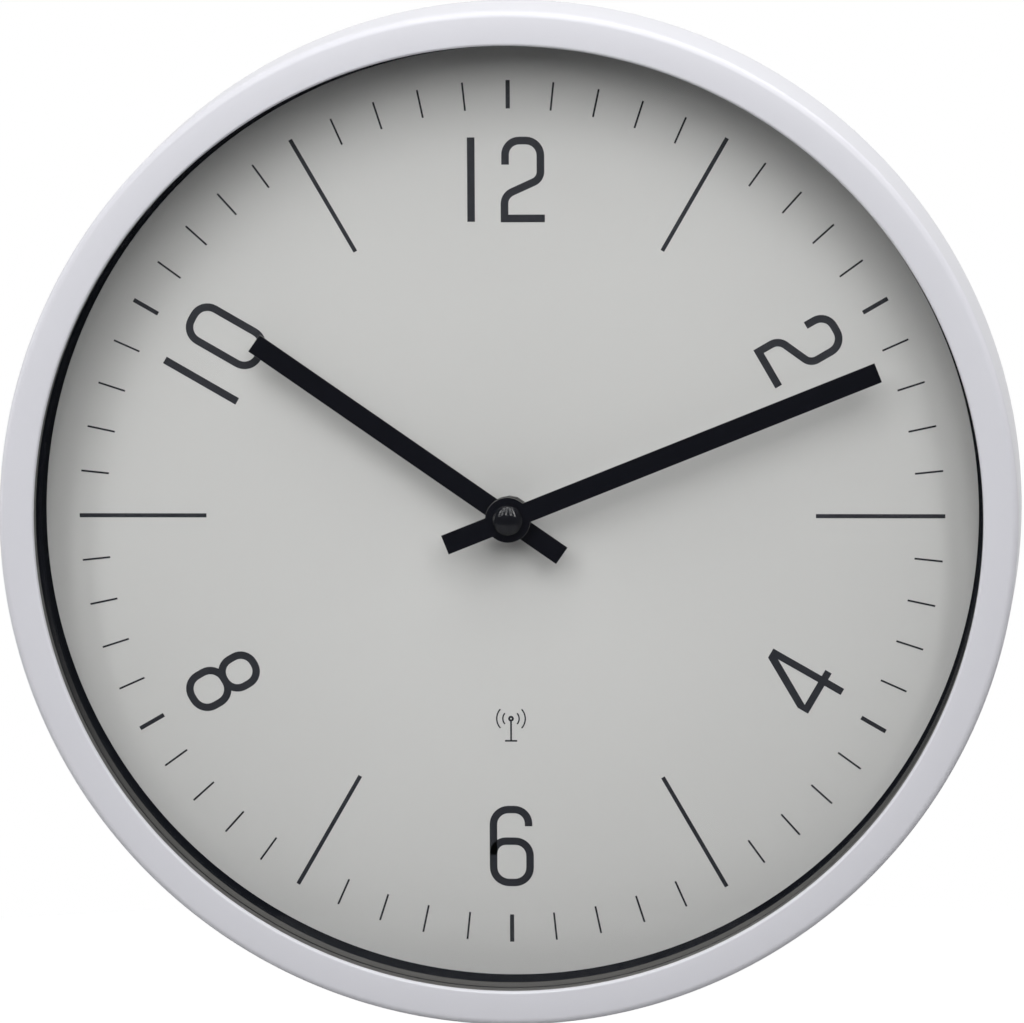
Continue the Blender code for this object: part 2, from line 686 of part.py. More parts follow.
def wall_hanger():
    """Steel plate with the keyhole, held by two screws."""
    low = HANGER_HEIGHT - HANGER_TALL / 2
    outline = rectangle(-HANGER_WIDTH / 2, HANGER_WIDTH / 2, low, low + HANGER_TALL, HANGER_CORNER)
    loops = [outline, keyhole()]
    places = [(side * HANGER_SCREW_OFFSET, HANGER_HEIGHT) for side in (-1, 1)]
    loops += [circle(SCREW_SHANK_RADIUS + GAP, SCREW_STEPS, place) for place in places]
    slab("wall_hanger", loops, HANGER_STANDOFF, HANGER_STANDOFF + HANGER_THICKNESS, STEEL)
    for number, place in enumerate(places, 1):
        screw(
            f"hanger_screw_{number}",
            place,
            HANGER_STANDOFF,
            HANGER_SCREW_HEAD_RADIUS,
            HANGER_SCREW_HEAD_HEIGHT,
            SCREW_SHANK_RADIUS,
            HANGER_SCREW_LENGTH,
        )


def in_movement(depth):
    """A depth counted from the movement's rear face."""
    return MOVEMENT_REAR + depth


INTERMEDIATE_PLACE = polar(CENTRE_DISTANCE, INTERMEDIATE_ANGLE)
ROTOR_PLACE = shifted(INTERMEDIATE_PLACE, ROTOR_DISTANCE, ROTOR_ANGLE)
MINUTE_WHEEL_PLACE = polar(MOTION_DISTANCE, MINUTE_WHEEL_ANGLE)
BEARING_RADIUS = PIVOT_RADIUS + GAP + BEARING_WALL


def closer_places():
    """The two opposite corners where screws close the movement."""
    side = MOVEMENT_WIDTH / 2 - CLOSER_INSET
    return [(-side, MOVEMENT_TOP - CLOSER_INSET), (side, -MOVEMENT_BOTTOM + CLOSER_INSET)]


def movement_front_case():
    """Front tray with the threaded bush, the minute wheel's post and the front bearings."""
    start = JOINT_DEPTH + GAP
    body = slab("movement_front_case", [movement_outline()], start, MOVEMENT_FRONT, MOVEMENT_BLACK)
    hollow = slab(
        "front_case_hollow", [movement_outline(-MOVEMENT_WALL)], JOINT_DEPTH - CUT_OVERRUN, FACE_INSIDE
    )
    cut(body, hollow)
    bush_top = DIAL_FACE + BUSH_HEIGHT
    bush = pin("front_case_bush", BUSH_RADIUS, FACE_INSIDE + FUSE, bush_top, steps=HUB_STEPS)
    post_rear = in_movement(MINUTE_WHEEL_DEPTH) - GAP
    post = pin("minute_post", MINUTE_POST_RADIUS, post_rear, FACE_INSIDE + FUSE, place=MINUTE_WHEEL_PLACE)
    bearings = [
        pin(
            f"front_bearing_{name}",
            BEARING_RADIUS,
            begin,
            FACE_INSIDE + FUSE,
            place=place,
        )
        for name, place, begin in front_bearings()
    ]
    bosses = [
        pin(f"front_closer_boss_{i}", CLOSER_BOSS_RADIUS, start, FACE_INSIDE + FUSE, place=at)
        for i, at in enumerate(closer_places(), 1)
    ]
    fuse(body, bush, post, *bearings, *bosses)
    bore = pin(
        "front_case_bore",
        BUSH_BORE_RADIUS,
        FACE_INSIDE - CUT_OVERRUN,
        bush_top + CUT_OVERRUN,
        steps=HUB_STEPS,
    )
    pivots = [
        pin(
            f"front_pivot_hole_{name}",
            PIVOT_RADIUS + GAP,
            begin - CUT_OVERRUN,
            begin + PIVOT_REACH + GAP,
            place=place,
        )
        for name, place, begin in front_bearings()
    ]
    pilots = [
        pin(
            f"front_closer_hole_{i}",
            CLOSER_SHANK_RADIUS + GAP,
            JOINT_DEPTH - CUT_OVERRUN,
            closer_seat() + CLOSER_LENGTH + GAP,
            place=at,
        )
        for i, at in enumerate(closer_places(), 1)
    ]
    cut(body, bore, *pivots, *pilots)


def closer_seat():
    """Depth of the counterbore's floor, which a closing screw's head rests on."""
    return MOVEMENT_REAR + CLOSER_HEAD_HEIGHT + 2 * GAP


def front_bearings():
    """Name, place and rear end of each bearing on the front tray."""
    after_pinion = in_movement(CENTRE_WHEEL_DEPTH) + WHEEL_THICKNESS + PINION_OVERHANG
    after_rotor = in_movement(ROTOR_PINION_DEPTH) + ROTOR_PINION_LENGTH
    return [
        ("intermediate", INTERMEDIATE_PLACE, after_pinion + GAP),
        ("rotor", ROTOR_PLACE, after_rotor + GAP),
    ]


def rear_bearings():
    """Name, place, pivot radius and front end of each bearing on the rear tray."""
    return [
        ("centre", (0.0, 0.0), MINUTE_ARBOR_RADIUS / 2, in_movement(INTERMEDIATE_DEPTH)),
        ("intermediate", INTERMEDIATE_PLACE, PIVOT_RADIUS, in_movement(INTERMEDIATE_DEPTH) - GAP),
        ("rotor", ROTOR_PLACE, PIVOT_RADIUS, in_movement(ROTOR_MAGNET_DEPTH) - GAP),
    ]


def bay_rectangle(margin=0.0):
    half = BAY_LENGTH / 2 + margin
    reach = BAY_HALF_HEIGHT + margin
    return rectangle(-half, half, BATTERY_HEIGHT - reach, BATTERY_HEIGHT + reach)


def board_rest_places():
    """Two posts under the circuit board, near opposite corners."""
    inset = 2 * POST_RADIUS
    return [(BOARD_LEFT + inset, BOARD_TOP - inset), (BOARD_RIGHT - inset, -BOARD_BOTTOM + inset)]


def movement_rear_case():
    """Rear tray with the battery bay, the rear bearings, board posts, aerial saddles and button holes."""
    body = slab("movement_rear_case", [movement_outline()], MOVEMENT_REAR, JOINT_DEPTH, MOVEMENT_BLACK)
    hollow = slab(
        "rear_case_hollow", [movement_outline(-MOVEMENT_WALL)], REAR_INSIDE, JOINT_DEPTH + CUT_OVERRUN
    )
    cut(body, hollow)
    bay_end = BAY_BOTTOM_DEPTH + BAY_FLOOR
    bay = slab("bay_box", [bay_rectangle(BAY_WALL)], MOVEMENT_REAR + FUSE, bay_end)
    bearings = [
        pin(f"rear_bearing_{name}", radius + GAP + BEARING_WALL, REAR_INSIDE - FUSE, front, place=place)
        for name, place, radius, front in rear_bearings()
    ]
    board_posts = [
        pin(f"board_post_{i}", POST_RADIUS, REAR_INSIDE - FUSE, in_movement(BOARD_DEPTH) - GAP, place=at)
        for i, at in enumerate(board_rest_places(), 1)
    ]
    bosses = [
        pin(f"rear_closer_boss_{i}", CLOSER_BOSS_RADIUS, REAR_INSIDE - FUSE, JOINT_DEPTH, place=at)
        for i, at in enumerate(closer_places(), 1)
    ]
    saddles = [aerial_saddle(number, side) for number, side in enumerate((-1, 1), 1)]
    fuse(body, bay, *bearings, *board_posts, *bosses, *saddles)
    pocket = slab("bay_pocket", [bay_rectangle()], MOVEMENT_REAR - CUT_OVERRUN, BAY_BOTTOM_DEPTH)
    pivots = [
        pin(
            f"rear_pivot_hole_{name}",
            radius + GAP,
            front - PIVOT_REACH - GAP,
            front + CUT_OVERRUN,
            place=place,
        )
        for name, place, radius, front in rear_bearings()
    ]
    button_holes = [
        pin(
            f"{name}_hole",
            BUTTON_RADIUS + GAP,
            MOVEMENT_REAR - CUT_OVERRUN,
            REAR_INSIDE + CUT_OVERRUN,
            steps=HUB_STEPS,
            place=(BUTTON_OFFSET, height),
        )
        for name, height in BUTTON_HEIGHTS.items()
    ]
    counterbores = [
        pin(
            f"closer_counterbore_{i}",
            CLOSER_HEAD_RADIUS + GAP,
            MOVEMENT_REAR - CUT_OVERRUN,
            closer_seat(),
            place=at,
        )
        for i, at in enumerate(closer_places(), 1)
    ]
    shank_holes = [
        pin(
            f"closer_shank_hole_{i}",
            CLOSER_SHANK_RADIUS + GAP,
            MOVEMENT_REAR,
            JOINT_DEPTH + CUT_OVERRUN,
            place=at,
        )
        for i, at in enumerate(closer_places(), 1)
    ]
    cut(body, pocket, *pivots, *button_holes, *counterbores, *shank_holes)


def aerial_depth():
    """The rod lies midway between the two trays' inner faces."""
    return (REAR_INSIDE + FACE_INSIDE) / 2


def aerial_saddle(number, side):
    """A rib on the rear tray with a round seat for the ferrite rod."""
    seat = arc(ROD_RADIUS + GAP, -math.pi / 2, math.pi / 2, ROD_STEPS // 2)
    top = REAR_INSIDE - FUSE
    half = ROD_RADIUS + GAP + SADDLE_WALL
    points = [(aerial_depth() - x, ROD_HEIGHT + z) for z, x in seat]
    low, high = ROD_HEIGHT - half, ROD_HEIGHT + half
    edge = aerial_depth()
    loop = [(top, low), (top, high), (edge, high)] + list(reversed(points)) + [(edge, low)]
    middle = side * SADDLE_OFFSET
    return bar_along(
        "X", f"aerial_saddle_{number}", [loop], middle - SADDLE_WALL / 2, middle + SADDLE_WALL / 2
    )


def closer_screws():
    for number, place in enumerate(closer_places(), 1):
        screw(
            f"movement_screw_{number}",
            place,
            closer_seat(),
            CLOSER_HEAD_RADIUS,
            CLOSER_HEAD_HEIGHT,
            CLOSER_SHANK_RADIUS,
            CLOSER_LENGTH,
        )


def bush_parts():
    """Washer and hex nut that clamp the dial to the movement."""
    washer_rear = DIAL_FACE + GAP
    washer_front = washer_rear + WASHER_THICKNESS
    bore = BUSH_RADIUS + GAP
    ring("bush_washer", bore, WASHER_RADIUS, washer_rear, washer_front, BRASS, HUB_STEPS)
    corner = NUT_FLATS / 2 / math.cos(math.pi / 6)
    loops = [circle(corner, 6), circle(bore, HUB_STEPS)]
    nut_rear = washer_front + GAP
    slab("bush_nut", loops, nut_rear, nut_rear + NUT_HEIGHT, BRASS)


def hand_outline(reach, tail):
    """A straight bar with a round disc at the arbor, which stands out on both sides."""
    half = HAND_WIDTH / 2
    meet = math.asin(half / HAND_DISC_RADIUS)
    right = arc(HAND_DISC_RADIUS, meet, math.pi - meet, HUB_STEPS // 2)
    left = arc(HAND_DISC_RADIUS, math.pi + meet, 2 * math.pi - meet, HUB_STEPS // 2)
    return [(-half, reach), (half, reach)] + right + [(half, -tail), (-half, -tail)] + left


def hand(name, turn, reach, tail, lift, bore, collar_radius, collar_length):
    """A sheet hand with a collar behind it that grips its arbor."""
    sheet = DIAL_FACE + lift
    face = sheet + HAND_SHEET
    body = slab(name, [hand_outline(reach, tail)], sheet, face, HAND_BLACK, turn=turn)
    collar_rear = sheet - collar_length
    fuse(body, pin(f"{name}_collar", collar_radius, collar_rear, sheet + FUSE, steps=HUB_STEPS))
    hole = pin(f"{name}_bore", bore, collar_rear - CUT_OVERRUN, face + CUT_OVERRUN, steps=HUB_STEPS)
    cut(body, hole)


def hands():
    hand(
        "hour_hand",
        HOUR_HAND_ANGLE,
        HOUR_HAND_REACH,
        HOUR_HAND_TAIL,
        HOUR_HAND_LIFT,
        HOUR_TUBE_RADIUS + GAP,
        HOUR_COLLAR_RADIUS,
        HOUR_COLLAR_LENGTH,
    )
    hand(
        "minute_hand",
        MINUTE_HAND_ANGLE,
        MINUTE_HAND_REACH,
        MINUTE_HAND_TAIL,
        MINUTE_HAND_LIFT,
        MINUTE_ARBOR_RADIUS + GAP,
        MINUTE_COLLAR_RADIUS,
        MINUTE_COLLAR_LENGTH,
    )
    base = MINUTE_SHEET + HAND_SHEET + GAP
    skirt = base + CAP_SKIRT
    bore = MINUTE_ARBOR_RADIUS + GAP
    slopes = [math.pi / 2 * i / DOME_STEPS for i in range(DOME_STEPS)]
    dome = [(CAP_RADIUS * math.cos(t), skirt + CAP_DOME * math.sin(t)) for t in slopes]
    profile = [(0.0, ARBOR_TIP + GAP), (bore, ARBOR_TIP + GAP), (bore, base), (CAP_RADIUS, base)]
    profile += dome + [(0.0, skirt + CAP_DOME)]
    turned("hand_cap", profile, CAP_BLACK, CAP_STEPS)


def centre_wheel():
    """64-tooth wheel, cannon pinion and minute arbor in one moulding."""
    wheel_rear = in_movement(CENTRE_WHEEL_DEPTH)
    wheel_front = wheel_rear + WHEEL_THICKNESS
    body = slab(
        "centre_wheel",
        [toothed(CENTRE_TEETH, TRAIN_MODULE, WHEEL_FLANK_SHARES)],
        wheel_rear,
        wheel_front,
        WHEEL_PLASTIC,
        turn=MINUTE_HAND_ANGLE,
    )
    cannon = slab(
        "cannon_pinion",
        [toothed(CANNON_TEETH, CANNON_MODULE, PINION_FLANK_SHARES)],
        wheel_front - FUSE,
        wheel_front + CANNON_LENGTH,
        turn=MINUTE_HAND_ANGLE,
    )
    pivot_front = in_movement(INTERMEDIATE_DEPTH)
    pivot = MINUTE_ARBOR_RADIUS / 2
    arbor = turned(
        "minute_arbor",
        [
            (0.0, pivot_front - PIVOT_REACH),
            (pivot, pivot_front - PIVOT_REACH),
            (pivot, pivot_front + GAP),
            (MINUTE_ARBOR_RADIUS, pivot_front + GAP),
            (MINUTE_ARBOR_RADIUS, ARBOR_TIP),
            (0.0, ARBOR_TIP),
        ],
        None,
        HUB_STEPS,
    )
    fuse(body, cannon, arbor)


def hour_wheel():
    """40-tooth wheel with the tube that carries the hour hand."""
    turn = minute_wheel_turn()
    turn = meshing_turn(MINUTE_PINION_TEETH, turn, HOUR_TEETH, MINUTE_WHEEL_ANGLE + math.pi)
    wheel_rear = in_movement(HOUR_WHEEL_DEPTH)
    body = slab(
        "hour_wheel",
        [toothed(HOUR_TEETH, HOUR_MODULE, WHEEL_FLANK_SHARES)],
        wheel_rear,
        wheel_rear + WHEEL_THICKNESS,
        WHEEL_PLASTIC,
        turn=turn,
    )
    tube_rear = wheel_rear - FUSE
    tube_front = HOUR_SHEET + HAND_SHEET
    fuse(body, pin("hour_tube", HOUR_TUBE_RADIUS, tube_rear, tube_front, steps=HUB_STEPS))
    bore = pin(
        "hour_tube_bore",
        HOUR_TUBE_BORE_RADIUS,
        tube_rear - CUT_OVERRUN,
        tube_front + CUT_OVERRUN,
        steps=HUB_STEPS,
    )
    cut(body, bore)


def minute_wheel_turn():
    return meshing_turn(CANNON_TEETH, MINUTE_HAND_ANGLE, MINUTE_WHEEL_TEETH, MINUTE_WHEEL_ANGLE)


def minute_wheel():
    """36-tooth wheel and 10-tooth pinion that turn on the front tray's post."""
    wheel_rear = in_movement(MINUTE_WHEEL_DEPTH)
    wheel_front = wheel_rear + WHEEL_THICKNESS
    body = slab(
        "minute_wheel",
        [toothed(MINUTE_WHEEL_TEETH, CANNON_MODULE, WHEEL_FLANK_SHARES)],
        wheel_rear,
        wheel_front,
        WHEEL_PLASTIC,
        MINUTE_WHEEL_PLACE,
        minute_wheel_turn(),
    )
    pinion_front = in_movement(HOUR_WHEEL_DEPTH) + WHEEL_THICKNESS
    pinion = slab(
        "minute_pinion",
        [toothed(MINUTE_PINION_TEETH, HOUR_MODULE, PINION_FLANK_SHARES)],
        wheel_front - FUSE,
        pinion_front,
        None,
        MINUTE_WHEEL_PLACE,
        minute_wheel_turn(),
    )
    fuse(body, pinion)
    bore = pin(
        "minute_wheel_bore",
        MINUTE_POST_RADIUS + GAP,
        wheel_rear - CUT_OVERRUN,
        pinion_front + CUT_OVERRUN,
        place=MINUTE_WHEEL_PLACE,
    )
    cut(body, bore)


def intermediate_turn():
    return meshing_turn(CENTRE_TEETH, MINUTE_HAND_ANGLE, INTERMEDIATE_PINION_TEETH, INTERMEDIATE_ANGLE)


def intermediate_wheel():
    """40-tooth wheel and 8-tooth pinion between the rotor and the centre wheel."""
    wheel_rear = in_movement(INTERMEDIATE_DEPTH)
    wheel_front = wheel_rear + WHEEL_THICKNESS
    pinion_front = in_movement(CENTRE_WHEEL_DEPTH) + WHEEL_THICKNESS + PINION_OVERHANG
    turn = intermediate_turn()
    body = slab(
        "intermediate_wheel",
        [toothed(INTERMEDIATE_TEETH, TRAIN_MODULE, WHEEL_FLANK_SHARES)],
        wheel_rear,
        wheel_front,
        WHEEL_PLASTIC,
        INTERMEDIATE_PLACE,
        turn,
    )
    pinion = slab(
        "intermediate_pinion",
        [toothed(INTERMEDIATE_PINION_TEETH, TRAIN_MODULE, PINION_FLANK_SHARES)],
        wheel_front - FUSE,
        pinion_front,
        None,
        INTERMEDIATE_PLACE,
        turn,
    )
    pivots = pin(
        "intermediate_pivots",
        PIVOT_RADIUS,
        wheel_rear - GAP - PIVOT_REACH,
        pinion_front + GAP + PIVOT_REACH,
        place=INTERMEDIATE_PLACE,
    )
    fuse(body, pinion, pivots)


def rotor():
    """Magnet with its 8-tooth pinion and pivots."""
    turn = meshing_turn(INTERMEDIATE_TEETH, intermediate_turn(), ROTOR_TEETH, ROTOR_ANGLE)
    magnet_rear = in_movement(ROTOR_MAGNET_DEPTH)
    magnet_front = magnet_rear + ROTOR_MAGNET_THICKNESS
    pinion_rear = in_movement(ROTOR_PINION_DEPTH)
    pinion_front = pinion_rear + ROTOR_PINION_LENGTH
    body = pin("rotor", MAGNET_RADIUS, magnet_rear, magnet_front, MAGNET, HUB_STEPS, ROTOR_PLACE)
    pinion = slab(
        "rotor_pinion",
        [toothed(ROTOR_TEETH, TRAIN_MODULE, PINION_FLANK_SHARES)],
        pinion_rear,
        pinion_front,
        None,
        ROTOR_PLACE,
        turn,
    )
    pivots = pin(
        "rotor_pivots",
        PIVOT_RADIUS,
        magnet_rear - GAP - PIVOT_REACH,
        pinion_front + GAP + PIVOT_REACH,
        place=ROTOR_PLACE,
    )
    fuse(body, pinion, pivots)


def stator_depth():
    """The stator lies round the middle of the rotor's magnet."""
    return in_movement(ROTOR_MAGNET_DEPTH) + (ROTOR_MAGNET_THICKNESS - STATOR_THICKNESS) / 2


def motor():
    """Stator frame with a pole plate round the rotor, and the coil on the opposite leg."""
    leg = STATOR_LEG
    outline = rectangle(-STATOR_LEFT, -STATOR_RIGHT, -STATOR_BOTTOM, STATOR_TOP)
    halfway = -(STATOR_LEFT + STATOR_RIGHT) / 2
    inner = rectangle(-STATOR_LEFT + leg, halfway, -STATOR_BOTTOM + leg, STATOR_TOP - leg)
    air = circle(MAGNET_RADIUS + STATOR_AIR, HUB_STEPS, ROTOR_PLACE)
    depth = stator_depth()
    slab("stator", [outline, inner, air], depth, depth + STATOR_THICKNESS, STEEL)
    middle = (STATOR_TOP - STATOR_BOTTOM) / 2
    leg_middle = -STATOR_LEFT + leg / 2
    depth_middle = depth + STATOR_THICKNESS / 2
    hole = rectangle(
        leg_middle - leg / 2 - GAP,
        leg_middle + leg / 2 + GAP,
        depth_middle - STATOR_THICKNESS / 2 - GAP,
        depth_middle + STATOR_THICKNESS / 2 + GAP,
    )

    def around(wall):
        return rectangle(
            leg_middle - leg / 2 - wall,
            leg_middle + leg / 2 + wall,
            depth_middle - STATOR_THICKNESS / 2 - wall,
            depth_middle + STATOR_THICKNESS / 2 + wall,
            wall / 2,
        )

    half = COIL_LENGTH / 2
    winding = bar_along("Z", "coil", [around(COIL_WALL), hole], middle - half, middle + half, COPPER)
    for number, end in enumerate((middle - half, middle + half - COIL_FLANGE), 1):
        flange = bar_along(
            "Z", f"coil_flange_{number}", [around(COIL_FLANGE_WALL), hole], end, end + COIL_FLANGE
        )
        fuse(winding, flange)


def circuit_board():
    """Board with three press switches, and the chip and crystal on its front side."""
    outline = rectangle(BOARD_LEFT, BOARD_RIGHT, -BOARD_BOTTOM, BOARD_TOP)
    depth = in_movement(BOARD_DEPTH)
    front = depth + BOARD_THICKNESS
    board = slab("circuit_board", [outline], depth, front, BOARD_GREEN)
    places = {name: (BUTTON_OFFSET, height) for name, height in BUTTON_HEIGHTS.items()}
    switches = [
        pin(f"{name}_switch", SWITCH_RADIUS, depth - SWITCH_HEIGHT, depth + FUSE, place=place)
        for name, place in places.items()
    ]
    fuse(board, *switches)
    chip_left = (BOARD_LEFT + BOARD_RIGHT - CHIP_SIZE) / 2
    slab(
        "controller_chip",
        [rectangle(chip_left, chip_left + CHIP_SIZE, -CHIP_SIZE / 2, CHIP_SIZE / 2)],
        front + GAP,
        front + GAP + CHIP_HEIGHT,
        CHIP_BLACK,
    )
    crystal_depth = front + GAP + CRYSTAL_RADIUS
    height = BOARD_TOP - 2 * CRYSTAL_RADIUS
    loop = circle(CRYSTAL_RADIUS, SCREW_STEPS, (crystal_depth, height))
    bar_along("X", "quartz_crystal", [loop], chip_left, chip_left + CRYSTAL_LENGTH, ZINC)


def aerial():
    """Ferrite rod and its winding."""
    place = (aerial_depth(), ROD_HEIGHT)
    rod = circle(ROD_RADIUS, ROD_STEPS, place)
    bar_along("X", "aerial_rod", [rod], -ROD_LENGTH / 2, ROD_LENGTH / 2, FERRITE)
    loops = [circle(WINDING_RADIUS, ROD_STEPS, place), circle(ROD_RADIUS + GAP, ROD_STEPS, place)]
    bar_along("X", "aerial_winding", loops, -WINDING_LENGTH / 2, WINDING_LENGTH / 2, COPPER)


def battery():
    """AA cell, positive nub to the right, and the two contacts that grip it."""
    profile = [
        (0.0, 0.0),
        (BATTERY_RADIUS - BATTERY_EDGE, 0.0),
        (BATTERY_RADIUS, BATTERY_EDGE),
        (BATTERY_RADIUS, BATTERY_BODY - BATTERY_EDGE),
        (BATTERY_RADIUS - BATTERY_EDGE, BATTERY_BODY),
        (BATTERY_NUB_RADIUS, BATTERY_BODY),
        (BATTERY_NUB_RADIUS, BATTERY_BODY + BATTERY_NUB),
        (0.0, BATTERY_BODY + BATTERY_NUB),
    ]
    cell = turned("battery", profile, CELL_SLEEVE, HUB_STEPS)
    wall = BAY_LENGTH / 2
    spring_room = GAP + CONTACT_SHEET + CONTACT_DIMPLE + GAP
    cell.rotation_euler = (0.0, 0.0, math.pi / 2)
    cell.location = (-wall + spring_room, WALL - BATTERY_DEPTH, BATTERY_HEIGHT)
    half = CONTACT_HEIGHT / 2
    left = -wall + GAP
    peak = left + CONTACT_SHEET + CONTACT_DIMPLE
    fold = CONTACT_WIDTH / 4
    low, high = BATTERY_HEIGHT - half, BATTERY_HEIGHT + half
    bent = [
        (left, low),
        (left, low + fold),
        (peak - CONTACT_SHEET, BATTERY_HEIGHT),
        (left, high - fold),
        (left, high),
        (left + CONTACT_SHEET, high),
        (left + CONTACT_SHEET, high - fold + CONTACT_SHEET),
        (peak, BATTERY_HEIGHT),
        (left + CONTACT_SHEET, low + fold - CONTACT_SHEET),
        (left + CONTACT_SHEET, low),
    ]
    depth = BATTERY_DEPTH - CONTACT_WIDTH / 2
    slab("contact_minus", [bent], depth, depth + CONTACT_WIDTH, ZINC)
    right = wall - GAP
    flat = rectangle(right - CONTACT_SHEET, right, low, high)
    slab("contact_plus", [flat], depth, depth + CONTACT_WIDTH, ZINC)


def buttons():
    """Set, receive and reset buttons, each held by a flange behind the rear wall."""
    face = MOVEMENT_REAR - BUTTON_SHOW
    flange = REAR_INSIDE + GAP
    stem_end = in_movement(BOARD_DEPTH) - SWITCH_HEIGHT - BUTTON_TRAVEL - GAP
    profile = [
        (0.0, face),
        (BUTTON_RADIUS, face),
        (BUTTON_RADIUS, flange),
        (BUTTON_FLANGE_RADIUS, flange),
        (BUTTON_FLANGE_RADIUS, flange + BUTTON_FLANGE),
        (BUTTON_STEM_RADIUS, flange + BUTTON_FLANGE),
        (BUTTON_STEM_RADIUS, stem_end),
        (0.0, stem_end),
    ]
    for name, height in BUTTON_HEIGHTS.items():
        turned(name, profile, BUTTON_GREY, HUB_STEPS, (BUTTON_OFFSET, height))


def build():
    case_ring()
    glass_parts()
    dial()
    back_plate()
    case_screws()
    wall_hanger()
    movement_front_case()
    movement_rear_case()
    closer_screws()
    bush_parts()
    hands()
    centre_wheel()
    hour_wheel()
    minute_wheel()
    intermediate_wheel()
    rotor()
    motor()
    circuit_board()
    aerial()
    battery()
    buttons()


for old in list(bpy.data.objects):
    bpy.data.objects.remove(old)
build()
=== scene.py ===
"""Looks of a radio-controlled wall clock, section by section as it is put together.

The clock hangs upright with its dial towards -Y and 12 o'clock towards +Z. "Depth" is the distance
in front of the wall plane, so a point at depth d has y = wall - d. Lengths are in metres.
"""
import math

import bmesh
import bpy
from mathutils import Matrix, Vector


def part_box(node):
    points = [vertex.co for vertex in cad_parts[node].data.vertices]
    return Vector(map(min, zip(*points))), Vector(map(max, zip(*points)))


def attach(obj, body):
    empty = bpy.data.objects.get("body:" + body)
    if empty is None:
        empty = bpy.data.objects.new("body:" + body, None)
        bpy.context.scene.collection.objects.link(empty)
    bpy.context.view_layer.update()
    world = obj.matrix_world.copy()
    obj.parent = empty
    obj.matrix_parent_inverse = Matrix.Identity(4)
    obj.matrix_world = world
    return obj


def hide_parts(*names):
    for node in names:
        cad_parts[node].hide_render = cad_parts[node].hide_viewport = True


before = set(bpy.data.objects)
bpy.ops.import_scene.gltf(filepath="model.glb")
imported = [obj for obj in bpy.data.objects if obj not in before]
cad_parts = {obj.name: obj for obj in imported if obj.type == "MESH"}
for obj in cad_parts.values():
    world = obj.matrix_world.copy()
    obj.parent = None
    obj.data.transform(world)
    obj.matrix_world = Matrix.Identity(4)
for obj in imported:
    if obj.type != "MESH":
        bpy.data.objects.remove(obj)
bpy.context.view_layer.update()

# ---------------------------------------------------------------------------------------------
# Case ring. One satin white injection moulding: a channel, open at the back, whose outer wall
# tapers towards the front face. Six bosses inside it take the screws of the back plate. The tool
# leaves a small rounded edge on the outside and a finer one round the opening.
case_lo, case_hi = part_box("case_ring")
wall = case_hi.y
case_depth = case_hi.y - case_lo.y
case_rear_radius = case_hi.x
case_front_radius = 0.1464
opening_radius = 0.1365
tube_inner, tube_outer = 0.1398, 0.1416
tube_rear = 0.0169
lip_under = case_depth - 0.0018
case_wall = 0.0022
boss_radius, boss_ring = 0.0028, 0.1438
boss_rear, boss_front = 0.0149, 0.0279
round_case = 288  # the steps round every large ring


def lathe(name, loop):
    """A closed loop of (radius, depth) points turned about the hand arbor."""
    mesh = bmesh.new()
    rings = []
    for i in range(round_case):
        angle = 2 * math.pi * i / round_case
        rings.append([mesh.verts.new((r * math.sin(angle), wall - d, r * math.cos(angle))) for r, d in loop])
    for i in range(round_case):
        a, b = rings[i], rings[(i + 1) % round_case]
        for k in range(len(loop)):
            m = (k + 1) % len(loop)
            mesh.faces.new((a[k], a[m], b[m], b[k]))
    return shaped(name, mesh)


def shaped(name, mesh, sharp=35.0):
    """A piece made of the bmesh, with its faces outward and its edges sharp past an angle in degrees."""
    bmesh.ops.remove_doubles(mesh, verts=mesh.verts[:], dist=1e-7)
    bmesh.ops.recalc_face_normals(mesh, faces=mesh.faces[:])
    data = bpy.data.meshes.new(name)
    mesh.to_mesh(data)
    mesh.free()
    data.shade_smooth()
    data.set_sharp_from_angle(angle=math.radians(sharp))
    piece = bpy.data.objects.new(name, data)
    bpy.context.scene.collection.objects.link(piece)
    return piece


def rounded(corners, steps=4):
    """The loop of (radius, depth, rounding) corners, with an arc in place of each rounded one."""
    loop = []
    for i, (r, d, rounding) in enumerate(corners):
        here = Vector((r, d))
        if rounding <= 0:
            loop.append((r, d))
            continue
        back = (Vector(corners[i - 1][:2]) - here).normalized()
        ahead = (Vector(corners[(i + 1) % len(corners)][:2]) - here).normalized()
        half = back.angle(ahead) / 2
        reach = rounding / math.tan(half)
        centre = here + (back + ahead).normalized() * (rounding / math.sin(half))
        first = here + back * reach - centre
        last = here + ahead * reach - centre
        for k in range(steps + 1):
            share = k / steps
            turn = first.angle_signed(last)
            point = first.copy()
            point.rotate(Matrix.Rotation(-turn * share, 2))
            loop.append(tuple(centre + point))
    return loop


def dress(piece, body, slot, finish, *nodes):
    """Gives a finished piece its material, its body and the CAD nodes that it stands for."""
    piece.data.materials.clear()
    piece.data.materials.append(finish)
    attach(piece, body)
    if nodes:
        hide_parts(*nodes)
    return piece


def socket(group, name, kind, value=None, out=False):
    side = "OUTPUT" if out else "INPUT"
    made = group.interface.new_socket(name, in_out=side, socket_type="NodeSocket" + kind)
    if value is not None:
        made.default_value = value
    return made


def feed(tree, node, feeds):
    """Gives a node's inputs a value each, or links them to another node's output."""
    for key, value in feeds.items():
        if isinstance(value, bpy.types.NodeSocket):
            tree.links.new(value, node.inputs[key])
        else:
            node.inputs[key].default_value = value


def add(tree, kind, feeds=None, **settings):
    """A new node: settings are its own properties, and feeds go to its inputs."""
    node = tree.nodes.new(kind)
    for name, value in settings.items():
        setattr(node, name, value)
    feed(tree, node, feeds or {})
    return node


